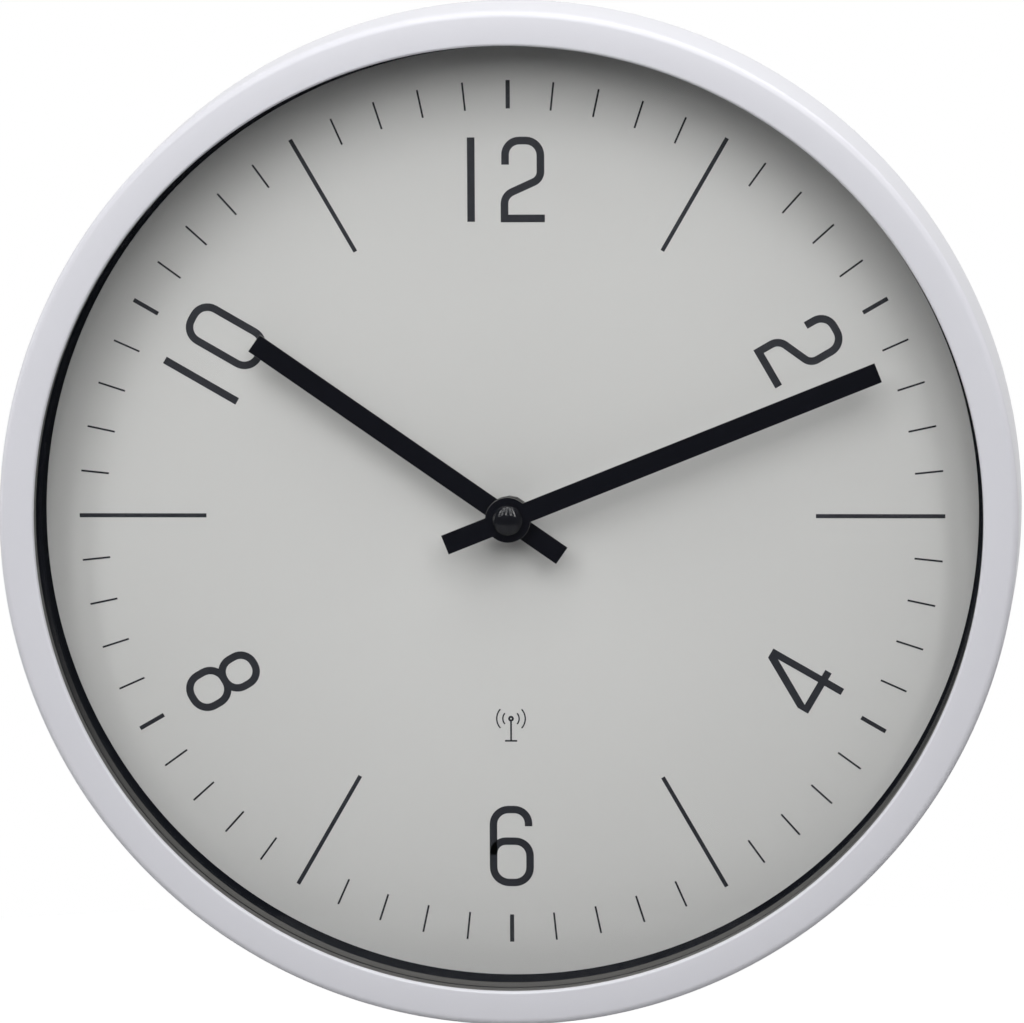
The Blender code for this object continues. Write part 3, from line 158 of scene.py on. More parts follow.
def maths(tree, operation, *values, clamp=False):
    made = add(tree, "ShaderNodeMath", dict(enumerate(values)), operation=operation, use_clamp=clamp)
    return made.outputs[0]


def place_on(tree, kind="Object"):
    """The place on the piece, in metres, or its normal there."""
    return add(tree, "ShaderNodeTexCoord").outputs[kind]


def noise(tree, place, scale, detail=2.0):
    return add(tree, "ShaderNodeTexNoise", {"Vector": place, "Scale": scale, "Detail": detail}).outputs["Fac"]


def relief(tree, height, strength, distance):
    """The normal that a bump of this height gives."""
    made = add(tree, "ShaderNodeBump", {"Height": height, "Strength": strength, "Distance": distance})
    return made.outputs["Normal"]


def skin_group(name, inputs):
    """An empty group with these inputs, which is to put out a colour, a roughness and a normal."""
    group = bpy.data.node_groups.new(name, "ShaderNodeTree")
    for key, value in inputs.items():
        socket(group, key, "Color" if key == "Colour" else "Float", value)
    for key, kind in (("Colour", "Color"), ("Roughness", "Float"), ("Normal", "Vector")):
        socket(group, key, kind, out=True)
    return group, add(group, "NodeGroupInput").outputs


def tint(group, colour, amount):
    return add(group, "ShaderNodeVectorMath", {0: colour, "Scale": amount}, operation="SCALE").outputs[0]


def moulded_skin_group():
    """The spark-eroded skin of a moulding: a small relief, patches of gloss and a faint cloud of tone."""
    group, given = skin_group("moulded_skin", {
        "Colour": (0.8, 0.8, 0.8, 1.0), "Grain Scale": 2600.0, "Relief": 0.05, "Roughness": 0.4,
        "Gloss Change": 0.08, "Tone Change": 0.03})
    place = place_on(group)
    grain = noise(group, place, given["Grain Scale"], 3.0)
    centred = maths(group, "SUBTRACT", noise(group, place, 38.0, 4.0), 0.5)
    gloss = maths(group, "MULTIPLY_ADD", centred, given["Gloss Change"], given["Roughness"], clamp=True)
    tone = maths(group, "MULTIPLY_ADD", centred, given["Tone Change"], 1.0)
    add(group, "NodeGroupOutput", {"Colour": tint(group, given["Colour"], tone), "Roughness": gloss,
                                   "Normal": relief(group, grain, given["Relief"], skin_height)})
    return group


skin_height = 0.00002
moulded_skin = moulded_skin_group()


def fresh(name, **plain):
    """A new material, its node tree and its shader; plain sets the shader's own sockets."""
    finish = bpy.data.materials.new(name)
    finish.use_nodes = True
    shader = finish.node_tree.nodes["Principled BSDF"]
    for key, value in plain.items():
        shader.inputs[key.replace("_", " ")].default_value = value
    return finish, finish.node_tree, shader


def skin_finish(name, group, values, **plain):
    """A material whose colour, roughness and normal come from a skin group."""
    finish, tree, shader = fresh(name, **plain)
    skin = add(tree, "ShaderNodeGroup", node_tree=group)
    feed(tree, skin, values)
    feed(tree, shader, {"Base Color": skin.outputs["Colour"], "Roughness": skin.outputs["Roughness"],
                        "Normal": skin.outputs["Normal"]})
    finish.diffuse_color = values["Colour"]
    return finish


case_white = skin_finish(
    "case_white", moulded_skin,
    {"Colour": (0.70, 0.70, 0.745, 1), "Grain Scale": 3200.0, "Relief": 0.06, "Roughness": 0.36,
     "Gloss Change": 0.06, "Tone Change": 0.02},
    Specular_IOR_Level=0.45)
case_loop = rounded([
    (case_rear_radius, 0.0, 0.0006),
    (case_front_radius, case_depth, 0.0022),
    (opening_radius, case_depth, 0.0008),
    (opening_radius, lip_under, 0.0002),
    (tube_inner, lip_under, 0.0),
    (tube_inner, tube_rear, 0.0003),
    (tube_outer, tube_rear, 0.0003),
    (tube_outer, case_depth - case_wall, 0.0008),
    (case_front_radius - case_wall + 0.0002, case_depth - case_wall, 0.0008),
    (case_rear_radius - case_wall, 0.0, 0.0004),
], 7)
case = lathe("case_moulding", case_loop)
dress(case, "base", "case_white", case_white, "case_ring")

# The six bosses stand between the tube and the outer wall, one behind each screw of the back plate.
# They are part of the white moulding, round posts with a draught and a lead-in at the mouth.
boss_places = [math.radians(32 + 60 * k) for k in range(6)]


def disc_stack(mesh, rings, centre, axis="Y", steps=24, close=True):
    """Adds a turned solid: rings are (radius, along) pairs; along is a depth, or a place on the axis."""
    made = []
    for radius, along in rings:
        if radius <= 0:
            spots = [mesh.verts.new(on_axis(axis, centre, along, 0, 0))]
        else:
            turns = [2 * math.pi * i / steps for i in range(steps)]
            spots = [mesh.verts.new(on_axis(axis, centre, along, radius * math.sin(t), radius * math.cos(t)))
                     for t in turns]
        made.append(spots)
    for a, b in zip(made, made[1:]):
        for i in range(steps):
            j = (i + 1) % steps
            if len(a) == 1 and len(b) == 1:
                continue
            if len(a) == 1:
                mesh.faces.new((a[0], b[i], b[j]))
            elif len(b) == 1:
                mesh.faces.new((a[i], a[j], b[0]))
            else:
                mesh.faces.new((a[i], a[j], b[j], b[i]))
    if close:
        for spots in (made[0], made[-1]):
            if len(spots) > 2:
                mesh.faces.new(spots)


def on_axis(axis, centre, along, u, v):
    if axis == "Y":
        return (centre[0] + u, wall - along, centre[1] + v)
    if axis == "X":
        return (along, centre[0] + u, centre[1] + v)
    return (centre[0] + u, centre[1] + v, along)


pilot_radius = 0.00125  # of the screw hole
mesh = bmesh.new()
for angle in boss_places:
    spot = (boss_ring * math.sin(angle), boss_ring * math.cos(angle))
    disc_stack(mesh, [
        (pilot_radius, boss_front - 0.002), (pilot_radius, boss_rear + 0.0004), (0.00165, boss_rear),
        (boss_radius - 0.0001, boss_rear), (boss_radius, boss_rear + 0.0003), (boss_radius, boss_front),
        (0, boss_front)], spot, close=False)
bosses = shaped("case_bosses", mesh)
dress(bosses, "base", "case_white", case_white)

# ---------------------------------------------------------------------------------------------
# Dial. A thin pressed disc, sprayed matt warm grey and screen printed in black: long lines at the
# odd hours, numerals at the even ones, a mark at each minute and a small reception sign. It lies
# against the step of the case tube, with a hole for the movement's bush.
dial_lo, dial_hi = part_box("dial")
dial_face = wall - dial_lo.y
dial_rear = wall - dial_hi.y
dial_radius = dial_hi.x
dial_hole = 0.0043


def ramp(tree, factor, *stops, interpolation="LINEAR"):
    """The colour of a ramp through (position, colour) stops."""
    made = add(tree, "ShaderNodeValToRGB", {"Fac": factor})
    colours = made.color_ramp
    colours.interpolation = interpolation
    while len(colours.elements) < len(stops):
        colours.elements.new(1.0)
    for stop, (position, colour) in zip(colours.elements, stops):
        stop.position, stop.color = position, colour
    return made.outputs["Color"]


dial_paint, tree, shader = fresh("dial_paint", Roughness=0.72, Specular_IOR_Level=0.25)
place = place_on(tree)
drift, spray = noise(tree, place, 9.0), noise(tree, place, 1900.0, 4.0)
tone = ramp(tree, drift, (0.25, (0.700, 0.697, 0.684, 1)), (0.75, (0.730, 0.727, 0.714, 1)))
feed(tree, shader, {"Base Color": tone, "Normal": relief(tree, spray, 0.2, 0.00001)})

dial_disc = lathe("dial_disc", rounded([
    (dial_hole, dial_rear, 0), (dial_hole, dial_face, 0.0001),
    (dial_radius, dial_face, 0.0001), (dial_radius, dial_rear, 0)]))
dress(dial_disc, "base", "dial_print", dial_paint, "dial")

print_black = skin_finish(
    "print_black", moulded_skin,
    {"Colour": (0.0135, 0.0145, 0.020, 1), "Grain Scale": 5200.0, "Relief": 0.05, "Roughness": 0.55,
     "Gloss Change": 0.1, "Tone Change": 0.1},
    Specular_IOR_Level=0.3)
ink = 0.00003  # the ink stands this much above the paint

# The marks are screen printed with square ends. Every mark ends on one circle: sixty positions
# round the dial, wide at the even hours, drawn long at the odd hours and hair-thin between them.
mark_radius = 0.1267
mark_length = 0.0082
mark_widths = {"hour_marks": (0.00123, mark_length), "long_marks": (0.0012, 0.0375),
               "minute_marks": (0.00056, mark_length)}


def marks_tree():
    """Bars laid round the dial, Count of them from First Turn on, which end at Radius."""
    tree = bpy.data.node_groups.new("dial_marks", "GeometryNodeTree")
    sockets = {name: socket(tree, name, kind, value).identifier for name, kind, value in (
        ("Count", "Int", 6), ("First Turn", "Float", 0.0), ("Step", "Float", 1.0), ("Radius", "Float", 0.1),
        ("Length", "Float", 0.01), ("Width", "Float", 0.001), ("Thickness", "Float", 0.00003),
        ("Depth Place", "Float", 0.0), ("Finish", "Material", None))}
    socket(tree, "Geometry", "Geometry", out=True)
    given = add(tree, "NodeGroupInput").outputs
    line = add(tree, "GeometryNodePoints", {"Count": given["Count"]})
    index = add(tree, "GeometryNodeInputIndex").outputs[0]
    turn = maths(tree, "MULTIPLY_ADD", index, given["Step"], given["First Turn"])
    turned = add(tree, "ShaderNodeCombineXYZ", {"Y": turn})
    size = add(tree, "ShaderNodeCombineXYZ", {
        "X": given["Width"], "Y": given["Thickness"], "Z": given["Length"]})
    bar = add(tree, "GeometryNodeMeshCube", {"Size": size.outputs[0]})
    middle = maths(tree, "MULTIPLY_ADD", given["Length"], -0.5, given["Radius"])
    shift = add(tree, "ShaderNodeCombineXYZ", {"Y": given["Depth Place"], "Z": middle})
    moved = add(tree, "GeometryNodeTransform", {
        "Geometry": bar.outputs["Mesh"], "Translation": shift.outputs[0]})
    laid = add(tree, "GeometryNodeInstanceOnPoints", {
        "Points": line.outputs[0], "Instance": moved.outputs[0], "Rotation": turned.outputs[0]})
    real = add(tree, "GeometryNodeRealizeInstances", {0: laid.outputs[0]})
    painted = add(tree, "GeometryNodeSetMaterial", {"Geometry": real.outputs[0], "Material": given["Finish"]})
    add(tree, "NodeGroupOutput", {0: painted.outputs[0]})
    return tree, sockets


def grown(name, tree, sockets, **values):
    """A plain mesh piece of what a Geometry Nodes tree makes with these inputs."""
    seed = bpy.data.objects.new(name + "_seed", bpy.data.meshes.new(name + "_seed"))
    bpy.context.scene.collection.objects.link(seed)
    modifier = seed.modifiers.new("Make", "NODES")
    modifier.node_group = tree
    for key, value in values.items():
        modifier[sockets[key.replace("_", " ")]] = value
    bpy.context.view_layer.update()
    result = seed.evaluated_get(bpy.context.evaluated_depsgraph_get())
    data = bpy.data.meshes.new_from_object(result)
    data.name = name
    piece = bpy.data.objects.new(name, data)
    bpy.context.scene.collection.objects.link(piece)
    old = seed.data
    bpy.data.objects.remove(seed)
    bpy.data.meshes.remove(old)
    return piece


marks, marks_in = marks_tree()
print_place = wall - dial_face - ink / 2 + 0.000005
common = {"Radius": mark_radius, "Thickness": ink + 0.00001, "Depth_Place": print_place,
          "Finish": print_black}
for name, (width, length) in mark_widths.items():
    if name == "minute_marks":
        pieces = [grown(f"{name}_{k}", marks, marks_in, Count=12, First_Turn=math.radians(6 * k),
                        Step=math.radians(30), Length=length, Width=width, **common) for k in (1, 2, 3, 4)]
    else:
        start = 0 if name == "hour_marks" else 30
        pieces = [grown(name, marks, marks_in, Count=6, First_Turn=math.radians(start), Step=math.radians(60),
                        Length=length, Width=width, **common)]
    for piece in pieces:
        dress(piece, "base", "dial_print", print_black)

# The numerals are drawn with one even stroke, square ends and corners that keep close to a box, in
# the way of road-sign figures. They face outward at 10, 12 and 2 and inward at 4, 6 and 8.
numeral_ring = 0.0980
stroke = 0.00222


def ribbon(mesh, path, width, place, closed=False):
    """A flat printed stroke with mitred corners along (u, v) points, which place turns into points."""
    count = len(path)
    sides = []
    for i, spot in enumerate(path):
        here = Vector(spot)
        before = Vector(path[i - 1]) if i or closed else None
        after = Vector(path[(i + 1) % count]) if i + 1 < count or closed else None
        inward = (here - before).normalized() if before is not None else (after - here).normalized()
        outward = (after - here).normalized() if after is not None else inward
        along = (inward + outward).normalized()
        across = Vector((-along.y, along.x))
        slant = max(0.35, across.dot(Vector((-inward.y, inward.x))))
        sides.append((here + across * width / 2 / slant, here - across * width / 2 / slant))
    rows = [[mesh.verts.new(place(p.x, p.y, lift)) for p in pair for lift in (0.0, 1.0)] for pair in sides]
    steps = range(count if closed else count - 1)
    for i in steps:
        a, b = rows[i], rows[(i + 1) % count]
        for p, q in ((0, 1), (1, 3), (3, 2), (2, 0)):
            mesh.faces.new((a[p], a[q], b[q], b[p]))
    if not closed:
        for row in (rows[0], rows[-1]):
            mesh.faces.new((row[0], row[1], row[3], row[2]))


def pen(corners, closed=False):
    """A stroke's path in millimetres through (u, v, rounding) corners."""
    return rounded([(u / 1000, v / 1000, r / 1000) for u, v, r in corners], 8), closed


def box_loop(half_width, low, high, rounding):
    """A closed stroke round a box with wide round corners, as the bowls of the figures have."""
    return pen([(-half_width, low, rounding), (-half_width, high, rounding), (half_width, high, rounding),
                (half_width, low, rounding)], True)


figures = {
    "0": [box_loop(5.32, -11.15, 11.15, 4.5)],
    "1": [pen([(0, -12.2, 0), (0, 12.2, 0)])],
    "2": [pen([(-5.06, 4.31, 0), (-5.06, 11.25, 4.1), (5.19, 11.25, 4.3), (5.19, 0.14, 3.3),
               (-5.3, -4.58, 3.8), (-5.3, -11.25, 0), (6.42, -11.25, 0)])],
    "6": [pen([(5.02, 5.93, 0), (5.02, 10.92, 4.2), (-5.36, 10.92, 4.5), (-5.36, -10.92, 4.6),
               (5.41, -10.92, 4.5), (5.41, 1.46, 4.3), (-5.1, 1.46, 3.6), (-5.36, -2.6, 0)])],
    "8": [box_loop(4.53, 0.45, 10.45, 4.2), box_loop(5.1, -10.45, 0.45, 4.5)],
}


def numeral(name, hour, parts, outward=True):
    """One printed numeral at an hour of the dial; parts are (figure, offset along u)."""
    angle = math.radians(30 * hour)
    out = Vector((math.sin(angle), math.cos(angle)))
    up = out if outward else -out
    right = Vector((up.y, -up.x))
    middle = out * numeral_ring
    base = wall - dial_face
    mesh = bmesh.new()
    layer = 0.0

    def place_figure(offset):
        def place(u, v, lift):
            spot = middle + right * (u + offset) + up * v
            return (spot.x, base + 0.000004 - lift * (ink + 0.000004) - layer, spot.y)
        return place

    for figure, offset in parts:
        if figure == "4":
            four(mesh, place_figure(offset))
            continue
        for path, closed in figures[figure]:
            ribbon(mesh, path, stroke, place_figure(offset), closed)
            layer += 0.000002
    piece = shaped(name, mesh)
    return dress(piece, "base", "dial_print", print_black)


def four(mesh, place):
    """The 4: an upright stem, a slanting stroke and a crossbar, with the triangle between them left open."""
    px = 1 / 3421.0  # metres to one unit of the points below
    foot = -0.01193

    def spot(u, v):
        return (u * px + 0.00375, foot + v * px)

    outer = [spot(u, v) for u, v in (
        (3.4, 81.6), (-7.3, 81.6), (-36.3, 30.5), (-36.3, 18.6), (-3.6, 18.6), (-3.6, 0), (3.6, 0),
        (3.6, 18.6), (10.8, 18.6), (10.8, 26.0), (3.6, 26.0))]
    inner = [spot(u, v) for u, v in ((-3.8, 72.0), (-3.6, 26.0), (-30.2, 26.0))]
    for faces_at in (0.0, 1.0):
        top = [mesh.verts.new(place(*p, faces_at)) for p in outer]
        hole = [mesh.verts.new(place(*p, faces_at)) for p in inner]
        # the fill round the triangle, as plain quads and triangles
        mesh.faces.new((top[0], top[1], hole[0]))
        mesh.faces.new((top[1], top[2], hole[2], hole[0]))
        mesh.faces.new((top[2], top[3], top[4], hole[1], hole[2]))
        mesh.faces.new((top[4], top[5], top[6], top[7]))
        mesh.faces.new((top[4], top[7], top[8], top[9], top[10], hole[1]))
        mesh.faces.new((hole[1], top[10], top[0], hole[0]))
        if faces_at == 0.0:
            low_outer, low_hole = top, hole
    for a, b in ((low_outer, top), (low_hole, hole)):
        for i in range(len(a)):
            j = (i + 1) % len(a)
            mesh.faces.new((a[i], a[j], b[j], b[i]))


numeral("numeral_12", 12, [("1", -0.0108), ("2", 0.0042)])
numeral("numeral_2", 2, [("2", 0.0)])
numeral("numeral_4", 4, [("4", 0.0)], outward=False)
numeral("numeral_6", 6, [("6", 0.0)], outward=False)
numeral("numeral_8", 8, [("8", 0.0)], outward=False)
numeral("numeral_10", 10, [("1", -0.0108), ("0", 0.0042)])

# A plain generic sign for radio reception: a dot on a thin mast, with two waves at each side.
sign_height = -0.0600
mesh = bmesh.new()


def sign_place(u, v, lift):
    return (u, wall - dial_face + 0.000004 - lift * (ink + 0.000004), sign_height + v)


ribbon(mesh, [(0, -0.0066), (0, -0.0008)], 0.0005, sign_place)
ribbon(mesh, [(-0.0018, -0.0066), (0.0018, -0.0066)], 0.0005,
       lambda u, v, lift: sign_place(u, v, lift * 1.05))
dot = [(0.00055 * math.sin(a), 0.00055 * math.cos(a)) for a in [2 * math.pi * k / 20 for k in range(20)]]
ribbon(mesh, dot, 0.0006, lambda u, v, lift: sign_place(u, v, lift * 1.1), True)
for radius in (0.0024, 0.0042):
    for side in (-1, 1):
        turns = [math.radians(48 + 84 * k / 16) for k in range(17)]
        arc = [(side * radius * math.sin(a), radius * math.cos(a)) for a in turns]
        ribbon(mesh, arc, 0.00042, sign_place)
sign = shaped("reception_sign", mesh)
dress(sign, "base", "dial_print", print_black)

# ---------------------------------------------------------------------------------------------
# Spacer ring. A matt black tube section that stands on the dial and holds the gasket and glass in
# front of the hands. It is cut from tube, with a bevel at its front. Where the bevel faces up it is
# painted light grey: painted light from above.
spacer_lo, spacer_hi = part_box("dial_spacer")
spacer_black = skin_finish(
    "spacer_black", moulded_skin,
    {"Colour": (0.0075, 0.0085, 0.0120, 1), "Grain Scale": 2400.0, "Relief": 0.12, "Roughness": 0.8,
     "Gloss Change": 0.1, "Tone Change": 0.08},
    Specular_IOR_Level=0.0)
bevel_start = 0.0302  # the depth from which the bevel is painted light grey where it faces up: painted light from above


def mapped(tree, value, low, high, bounds=(0.0, 1.0), **settings):
    """The value, with low to high stretched to the bounds."""
    return add(tree, "ShaderNodeMapRange", {
        "Value": value, "From Min": low, "From Max": high, "To Min": bounds[0], "To Max": bounds[1]},
        **settings).outputs["Result"]


def part_of(tree, vector, axis):
    return add(tree, "ShaderNodeSeparateXYZ", {0: vector}).outputs[axis]


def overlay(finish, mask, colour):
    """Lays a second colour over a skin finish, where the mask is 1."""
    tree = finish.node_tree
    feeds = {"Factor": mask, 6: tree.nodes["Group"].outputs["Colour"], 7: colour}
    mixed = add(tree, "ShaderNodeMix", feeds, data_type="RGBA")
    feed(tree, tree.nodes["Principled BSDF"], {"Base Color": mixed.outputs[2]})


tree = spacer_black.node_tree
bevel_edge = wall - bevel_start
# The bevel's upward faces get a light grey: painted light from above, not a colour of the ring.
on_bevel = mapped(tree, part_of(tree, place_on(tree), "Y"), bevel_edge + 0.0002, bevel_edge - 0.0002)
painted_light_facing_up = mapped(tree, part_of(tree, place_on(tree, "Normal"), "Z"), 0.05, 0.75,
                  interpolation_type="SMOOTHSTEP")
overlay(spacer_black, maths(tree, "MULTIPLY", on_bevel, painted_light_facing_up), (0.110, 0.108, 0.104, 1))
spacer_bevel = 0.0026  # the bevel's length in depth
spacer_bore, gasket_bore = 0.1364, 0.1372
ring_outside = 0.1394  # of the rings that lie in the case's tube
spacer = lathe("spacer_tube", rounded([
    (spacer_bore, wall - spacer_hi.y, 0.0002), (spacer_bore, wall - spacer_lo.y - spacer_bevel, 0.0003),
    (gasket_bore, wall - spacer_lo.y, 0.0001),
    (ring_outside, wall - spacer_lo.y, 0.0002), (ring_outside, wall - spacer_hi.y, 0.0002)], 2))
dress(spacer, "base", "spacer_black", spacer_black, "dial_spacer")

# ---------------------------------------------------------------------------------------------
# Glass and its gasket. A disc of clear float glass with ground edges lies on a thin black foam
# ring, and the trim ring in front of it keeps dust out.
glass_lo, glass_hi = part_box("lens")
lens_glass, tree, shader = fresh("lens_glass", Base_Color=(0.99, 0.993, 0.992, 1), Roughness=0.0, IOR=1.24,
                                 Transmission_Weight=1.0)
ripple = noise(tree, place_on(tree), 14.0, 1.0)
feed(tree, shader, {"Normal": relief(tree, ripple, 0.02, 0.00005)})
path = add(tree, "ShaderNodeLightPath").outputs
clear = add(tree, "ShaderNodeBsdfTransparent", {"Color": (0.958, 0.960, 0.959, 1)})
mix = add(tree, "ShaderNodeMixShader", {
    "Fac": maths(tree, "MAXIMUM", path["Is Shadow Ray"], path["Is Diffuse Ray"]),
    1: shader.outputs["BSDF"], 2: clear.outputs["BSDF"]})
feed(tree, tree.nodes["Material Output"], {"Surface": mix.outputs["Shader"]})
glass_edge = 0.0003
mesh = bmesh.new()
glass_rear, glass_front = wall - glass_hi.y, wall - glass_lo.y
disc_stack(mesh, [
    (0, glass_rear), (glass_hi.x - glass_edge, glass_rear), (glass_hi.x, glass_rear + glass_edge),
    (glass_hi.x, glass_front - glass_edge), (glass_hi.x - glass_edge, glass_front), (0, glass_front)],
    (0, 0), steps=round_case)
glass = shaped("glass_disc", mesh, 20)
dress(glass, "base", "lens_glass", lens_glass, "lens")

gasket_lo, gasket_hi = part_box("lens_gasket")
gasket_foam, tree, shader = fresh("gasket_foam", Roughness=0.9)
cells = add(tree, "ShaderNodeTexVoronoi", {"Vector": place_on(tree), "Scale": 3500.0}).outputs["Distance"]
shade = ramp(tree, cells, (0.0, (0.006, 0.006, 0.007, 1)), (1.0, (0.016, 0.016, 0.018, 1)))
feed(tree, shader, {"Base Color": shade, "Normal": relief(tree, cells, 0.5, 0.00005)})
gasket = lathe("gasket_ring", rounded([
    (gasket_bore, wall - gasket_hi.y, 0.0003), (gasket_bore, wall - gasket_lo.y, 0.0003),
    (ring_outside, wall - gasket_lo.y, 0.0003), (ring_outside, wall - gasket_hi.y, 0.0003)], 3))
dress(gasket, "base", "gasket_rubber", gasket_foam, "lens_gasket")

# ---------------------------------------------------------------------------------------------
# Trim ring. A satin dark grey ring between the glass and the lip of the case, injection moulded,
# with a slight draught. It stands in front of the glass, so light from above reaches it in full.
trim_lo, trim_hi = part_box("glass_trim_ring")
trim_grey = skin_finish(
    "trim_grey", moulded_skin,
    {"Colour": (0.098, 0.096, 0.092, 1), "Grain Scale": 2400.0, "Relief": 0.05, "Roughness": 0.5,
     "Gloss Change": 0.05, "Tone Change": 0.05},
    Specular_IOR_Level=0.15)
trim_rear_bore, trim_front_bore = 0.1367, 0.1369
trim = lathe("trim_ring", rounded([
    (trim_rear_bore, wall - trim_hi.y, 0.0001), (trim_front_bore, wall - trim_lo.y, 0.0002),
    (ring_outside, wall - trim_lo.y, 0.0002), (ring_outside, wall - trim_hi.y, 0.0001)], 2))
dress(trim, "base", "trim_black", trim_grey, "glass_trim_ring")

# ---------------------------------------------------------------------------------------------
# Back plate. A matt black moulded pan that presses dial and glass forward against the lip. It has a
# stepped flange with six screw holes, a framed window for the movement, eight stiffening ribs and
# two bosses for the hanger.
plate_black = skin_finish(
    "plate_black", moulded_skin,
    {"Colour": (0.020, 0.020, 0.022, 1), "Grain Scale": 1500.0, "Relief": 0.35, "Roughness": 0.55,
     "Gloss Change": 0.12, "Tone Change": 0.12},
    Specular_IOR_Level=0.4)


def recoat(finish, *nodes):
    """Gives CAD nodes, which keep their shape, this finish."""
    for node in nodes:
        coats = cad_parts[node].data.materials
        coats.clear()
        coats.append(finish)


recoat(plate_black, "back_plate")

# ---------------------------------------------------------------------------------------------
# Screws. Pan-head steel screws, bright zinc, with a cross recess pressed into the crown: six hold
# the back plate to the case, two hold the hanger, and two smaller ones close the movement.


def zinc_skin_group():
    """A plated metal: one fine cloud changes its gloss, tone and relief."""
    group, given = skin_group("zinc_skin", {
        "Colour": (0.6, 0.6, 0.6, 1.0), "Scale": 900.0, "Roughness": 0.3, "Gloss Change": 0.2, "Relief": 0.1})
    cloud = noise(group, place_on(group), given["Scale"], 5.0)
    gloss = maths(group, "MULTIPLY_ADD", cloud, given["Gloss Change"], given["Roughness"], clamp=True)
    tone = maths(group, "MULTIPLY_ADD", cloud, 0.25, 0.87)
    add(group, "NodeGroupOutput", {"Colour": tint(group, given["Colour"], tone), "Roughness": gloss,
                                   "Normal": relief(group, cloud, given["Relief"], skin_height)})
    return group


metal_skin = zinc_skin_group()
screw_zinc = skin_finish(
    "screw_zinc", metal_skin, {"Colour": (0.62, 0.62, 0.60, 1), "Scale": 900.0, "Roughness": 0.22,
                               "Gloss Change": 0.18, "Relief": 0.1}, Metallic=1.0)


def pan_screw(name, node, head_radius, height, shank_radius, slot_half, turn):
    """A pan-head screw in the place of a CAD one, driven from the rear, with a cross recess."""
    lo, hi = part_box(node)
    centre = ((lo.x + hi.x) / 2, (lo.z + hi.z) / 2)
    head_rear, tip = wall - hi.y, wall - lo.y
    head_front = head_rear + height
    mesh = bmesh.new()
    steps = 32
    recess_depth = height * 0.55
    arm, blade = slot_half, slot_half * 0.30
    # the recess: a four-armed star cut into the crown, its outline walked round in 32 steps
    star = []
    for i in range(steps):
        a = 2 * math.pi * i / steps
        c, s = abs(math.cos(a)), abs(math.sin(a))
        reach = min(arm / max(c, s), blade / max(min(c, s), 1e-6))
        reach = max(reach, blade * 1.35)
        star.append(reach)
    rings = []

    def ring(radii, depth):
        rings.append([mesh.verts.new((centre[0] + r * math.sin(2 * math.pi * i / steps + turn), wall - depth,
                                      centre[1] + r * math.cos(2 * math.pi * i / steps + turn)))
                      for i, r in enumerate(radii)])

    ring([r * 0.55 for r in star], head_rear + recess_depth)
    ring(star, head_rear + height * 0.02)
    ring([max(r * 1.06, head_radius * 0.62) for r in star], head_rear)
    for share, drop in ((0.82, 0.10), (0.94, 0.30), (1.0, 0.62)):
        ring([head_radius * share] * steps, head_rear + height * drop)
    ring([head_radius] * steps, head_front)
    ring([shank_radius] * steps, head_front)
    ring([shank_radius] * steps, tip - shank_radius * 1.2)
    ring([shank_radius * 0.25] * steps, tip)
    for a, b in zip(rings, rings[1:]):
        for i in range(steps):
            j = (i + 1) % steps
            mesh.faces.new((a[i], a[j], b[j], b[i]))
    mesh.faces.new(rings[0])
    mesh.faces.new(rings[-1])
    piece = shaped(name, mesh, 30)
    return dress(piece, "base", "screw_zinc", screw_zinc, node)


for k in range(6):
    pan_screw(f"flange_screw_{k + 1}", f"case_screw_{k + 1}", 0.0022, 0.0014, 0.00115, 0.00125, 0.7 * k)
for k in range(2):
    pan_screw(f"plate_screw_{k + 1}", f"hanger_screw_{k + 1}",
              0.0026, 0.0013, 0.00115, 0.0015, 0.4 + 1.1 * k)
    pan_screw(f"closing_screw_{k + 1}", f"movement_screw_{k + 1}",
              0.0015, 0.0011, 0.0008, 0.0009, 0.2 + 0.9 * k)

# ---------------------------------------------------------------------------------------------
# Hanger. A plate of rolled steel strip with a stamped keyhole, screwed to two bosses of the back
# plate. The strip shows fine rolling lines along its length.
hanger_steel, tree, shader = fresh("hanger_steel", Metallic=1.0)
stretch = add(tree, "ShaderNodeMapping", {"Vector": place_on(tree), "Scale": (40.0, 900.0, 2600.0)})
lines = noise(tree, stretch.outputs["Vector"], 1.0, 6.0)
feed(tree, shader, {
    "Base Color": ramp(tree, lines, (0.3, (0.40, 0.40, 0.41, 1)), (0.7, (0.56, 0.56, 0.56, 1))),
    "Roughness": mapped(tree, lines, 0.0, 1.0, (0.26, 0.46)), "Normal": relief(tree, lines, 0.15, 0.00002)})
recoat(hanger_steel, "wall_hanger")

# ---------------------------------------------------------------------------------------------
# Hands. Bars punched from thin aluminium sheet with a disc in the middle, pressed onto a collar
# and lacquered matt black, with square ends. Their edges are painted light grey: a painted highlight
# for the light that the edges catch.
# Each hand: its node, degrees from 12 o'clock, reach, tail, the depth of its rear face, and its
# collar's radius and rear depth.
hands = {
    "hour": ("hour_hand", 304.8, 0.0897, 0.0189, 0.0266, 0.0036, 0.0244),
    "minute": ("minute_hand", 68.2, 0.1150, 0.0197, 0.0298, 0.0028, 0.0284),
}
hand_half = 0.00295
hand_sheet = 0.0006
hand_disc = 0.0066

hand_black = skin_finish(
    "hand_black", moulded_skin,
    {"Colour": (0.0052, 0.0056, 0.0088, 1), "Grain Scale": 4200.0, "Relief": 0.15, "Roughness": 0.52,
     "Gloss Change": 0.12, "Tone Change": 0.1},
    Specular_IOR_Level=0.02)
tree = hand_black.node_tree
# The sides of the sheet are painted light grey all round: a painted highlight on the edges.
across_sheet = maths(tree, "ABSOLUTE", part_of(tree, place_on(tree, "Normal"), "Y"))
overlay(hand_black, mapped(tree, across_sheet, 0.90, 0.60), (0.30, 0.295, 0.28, 1))


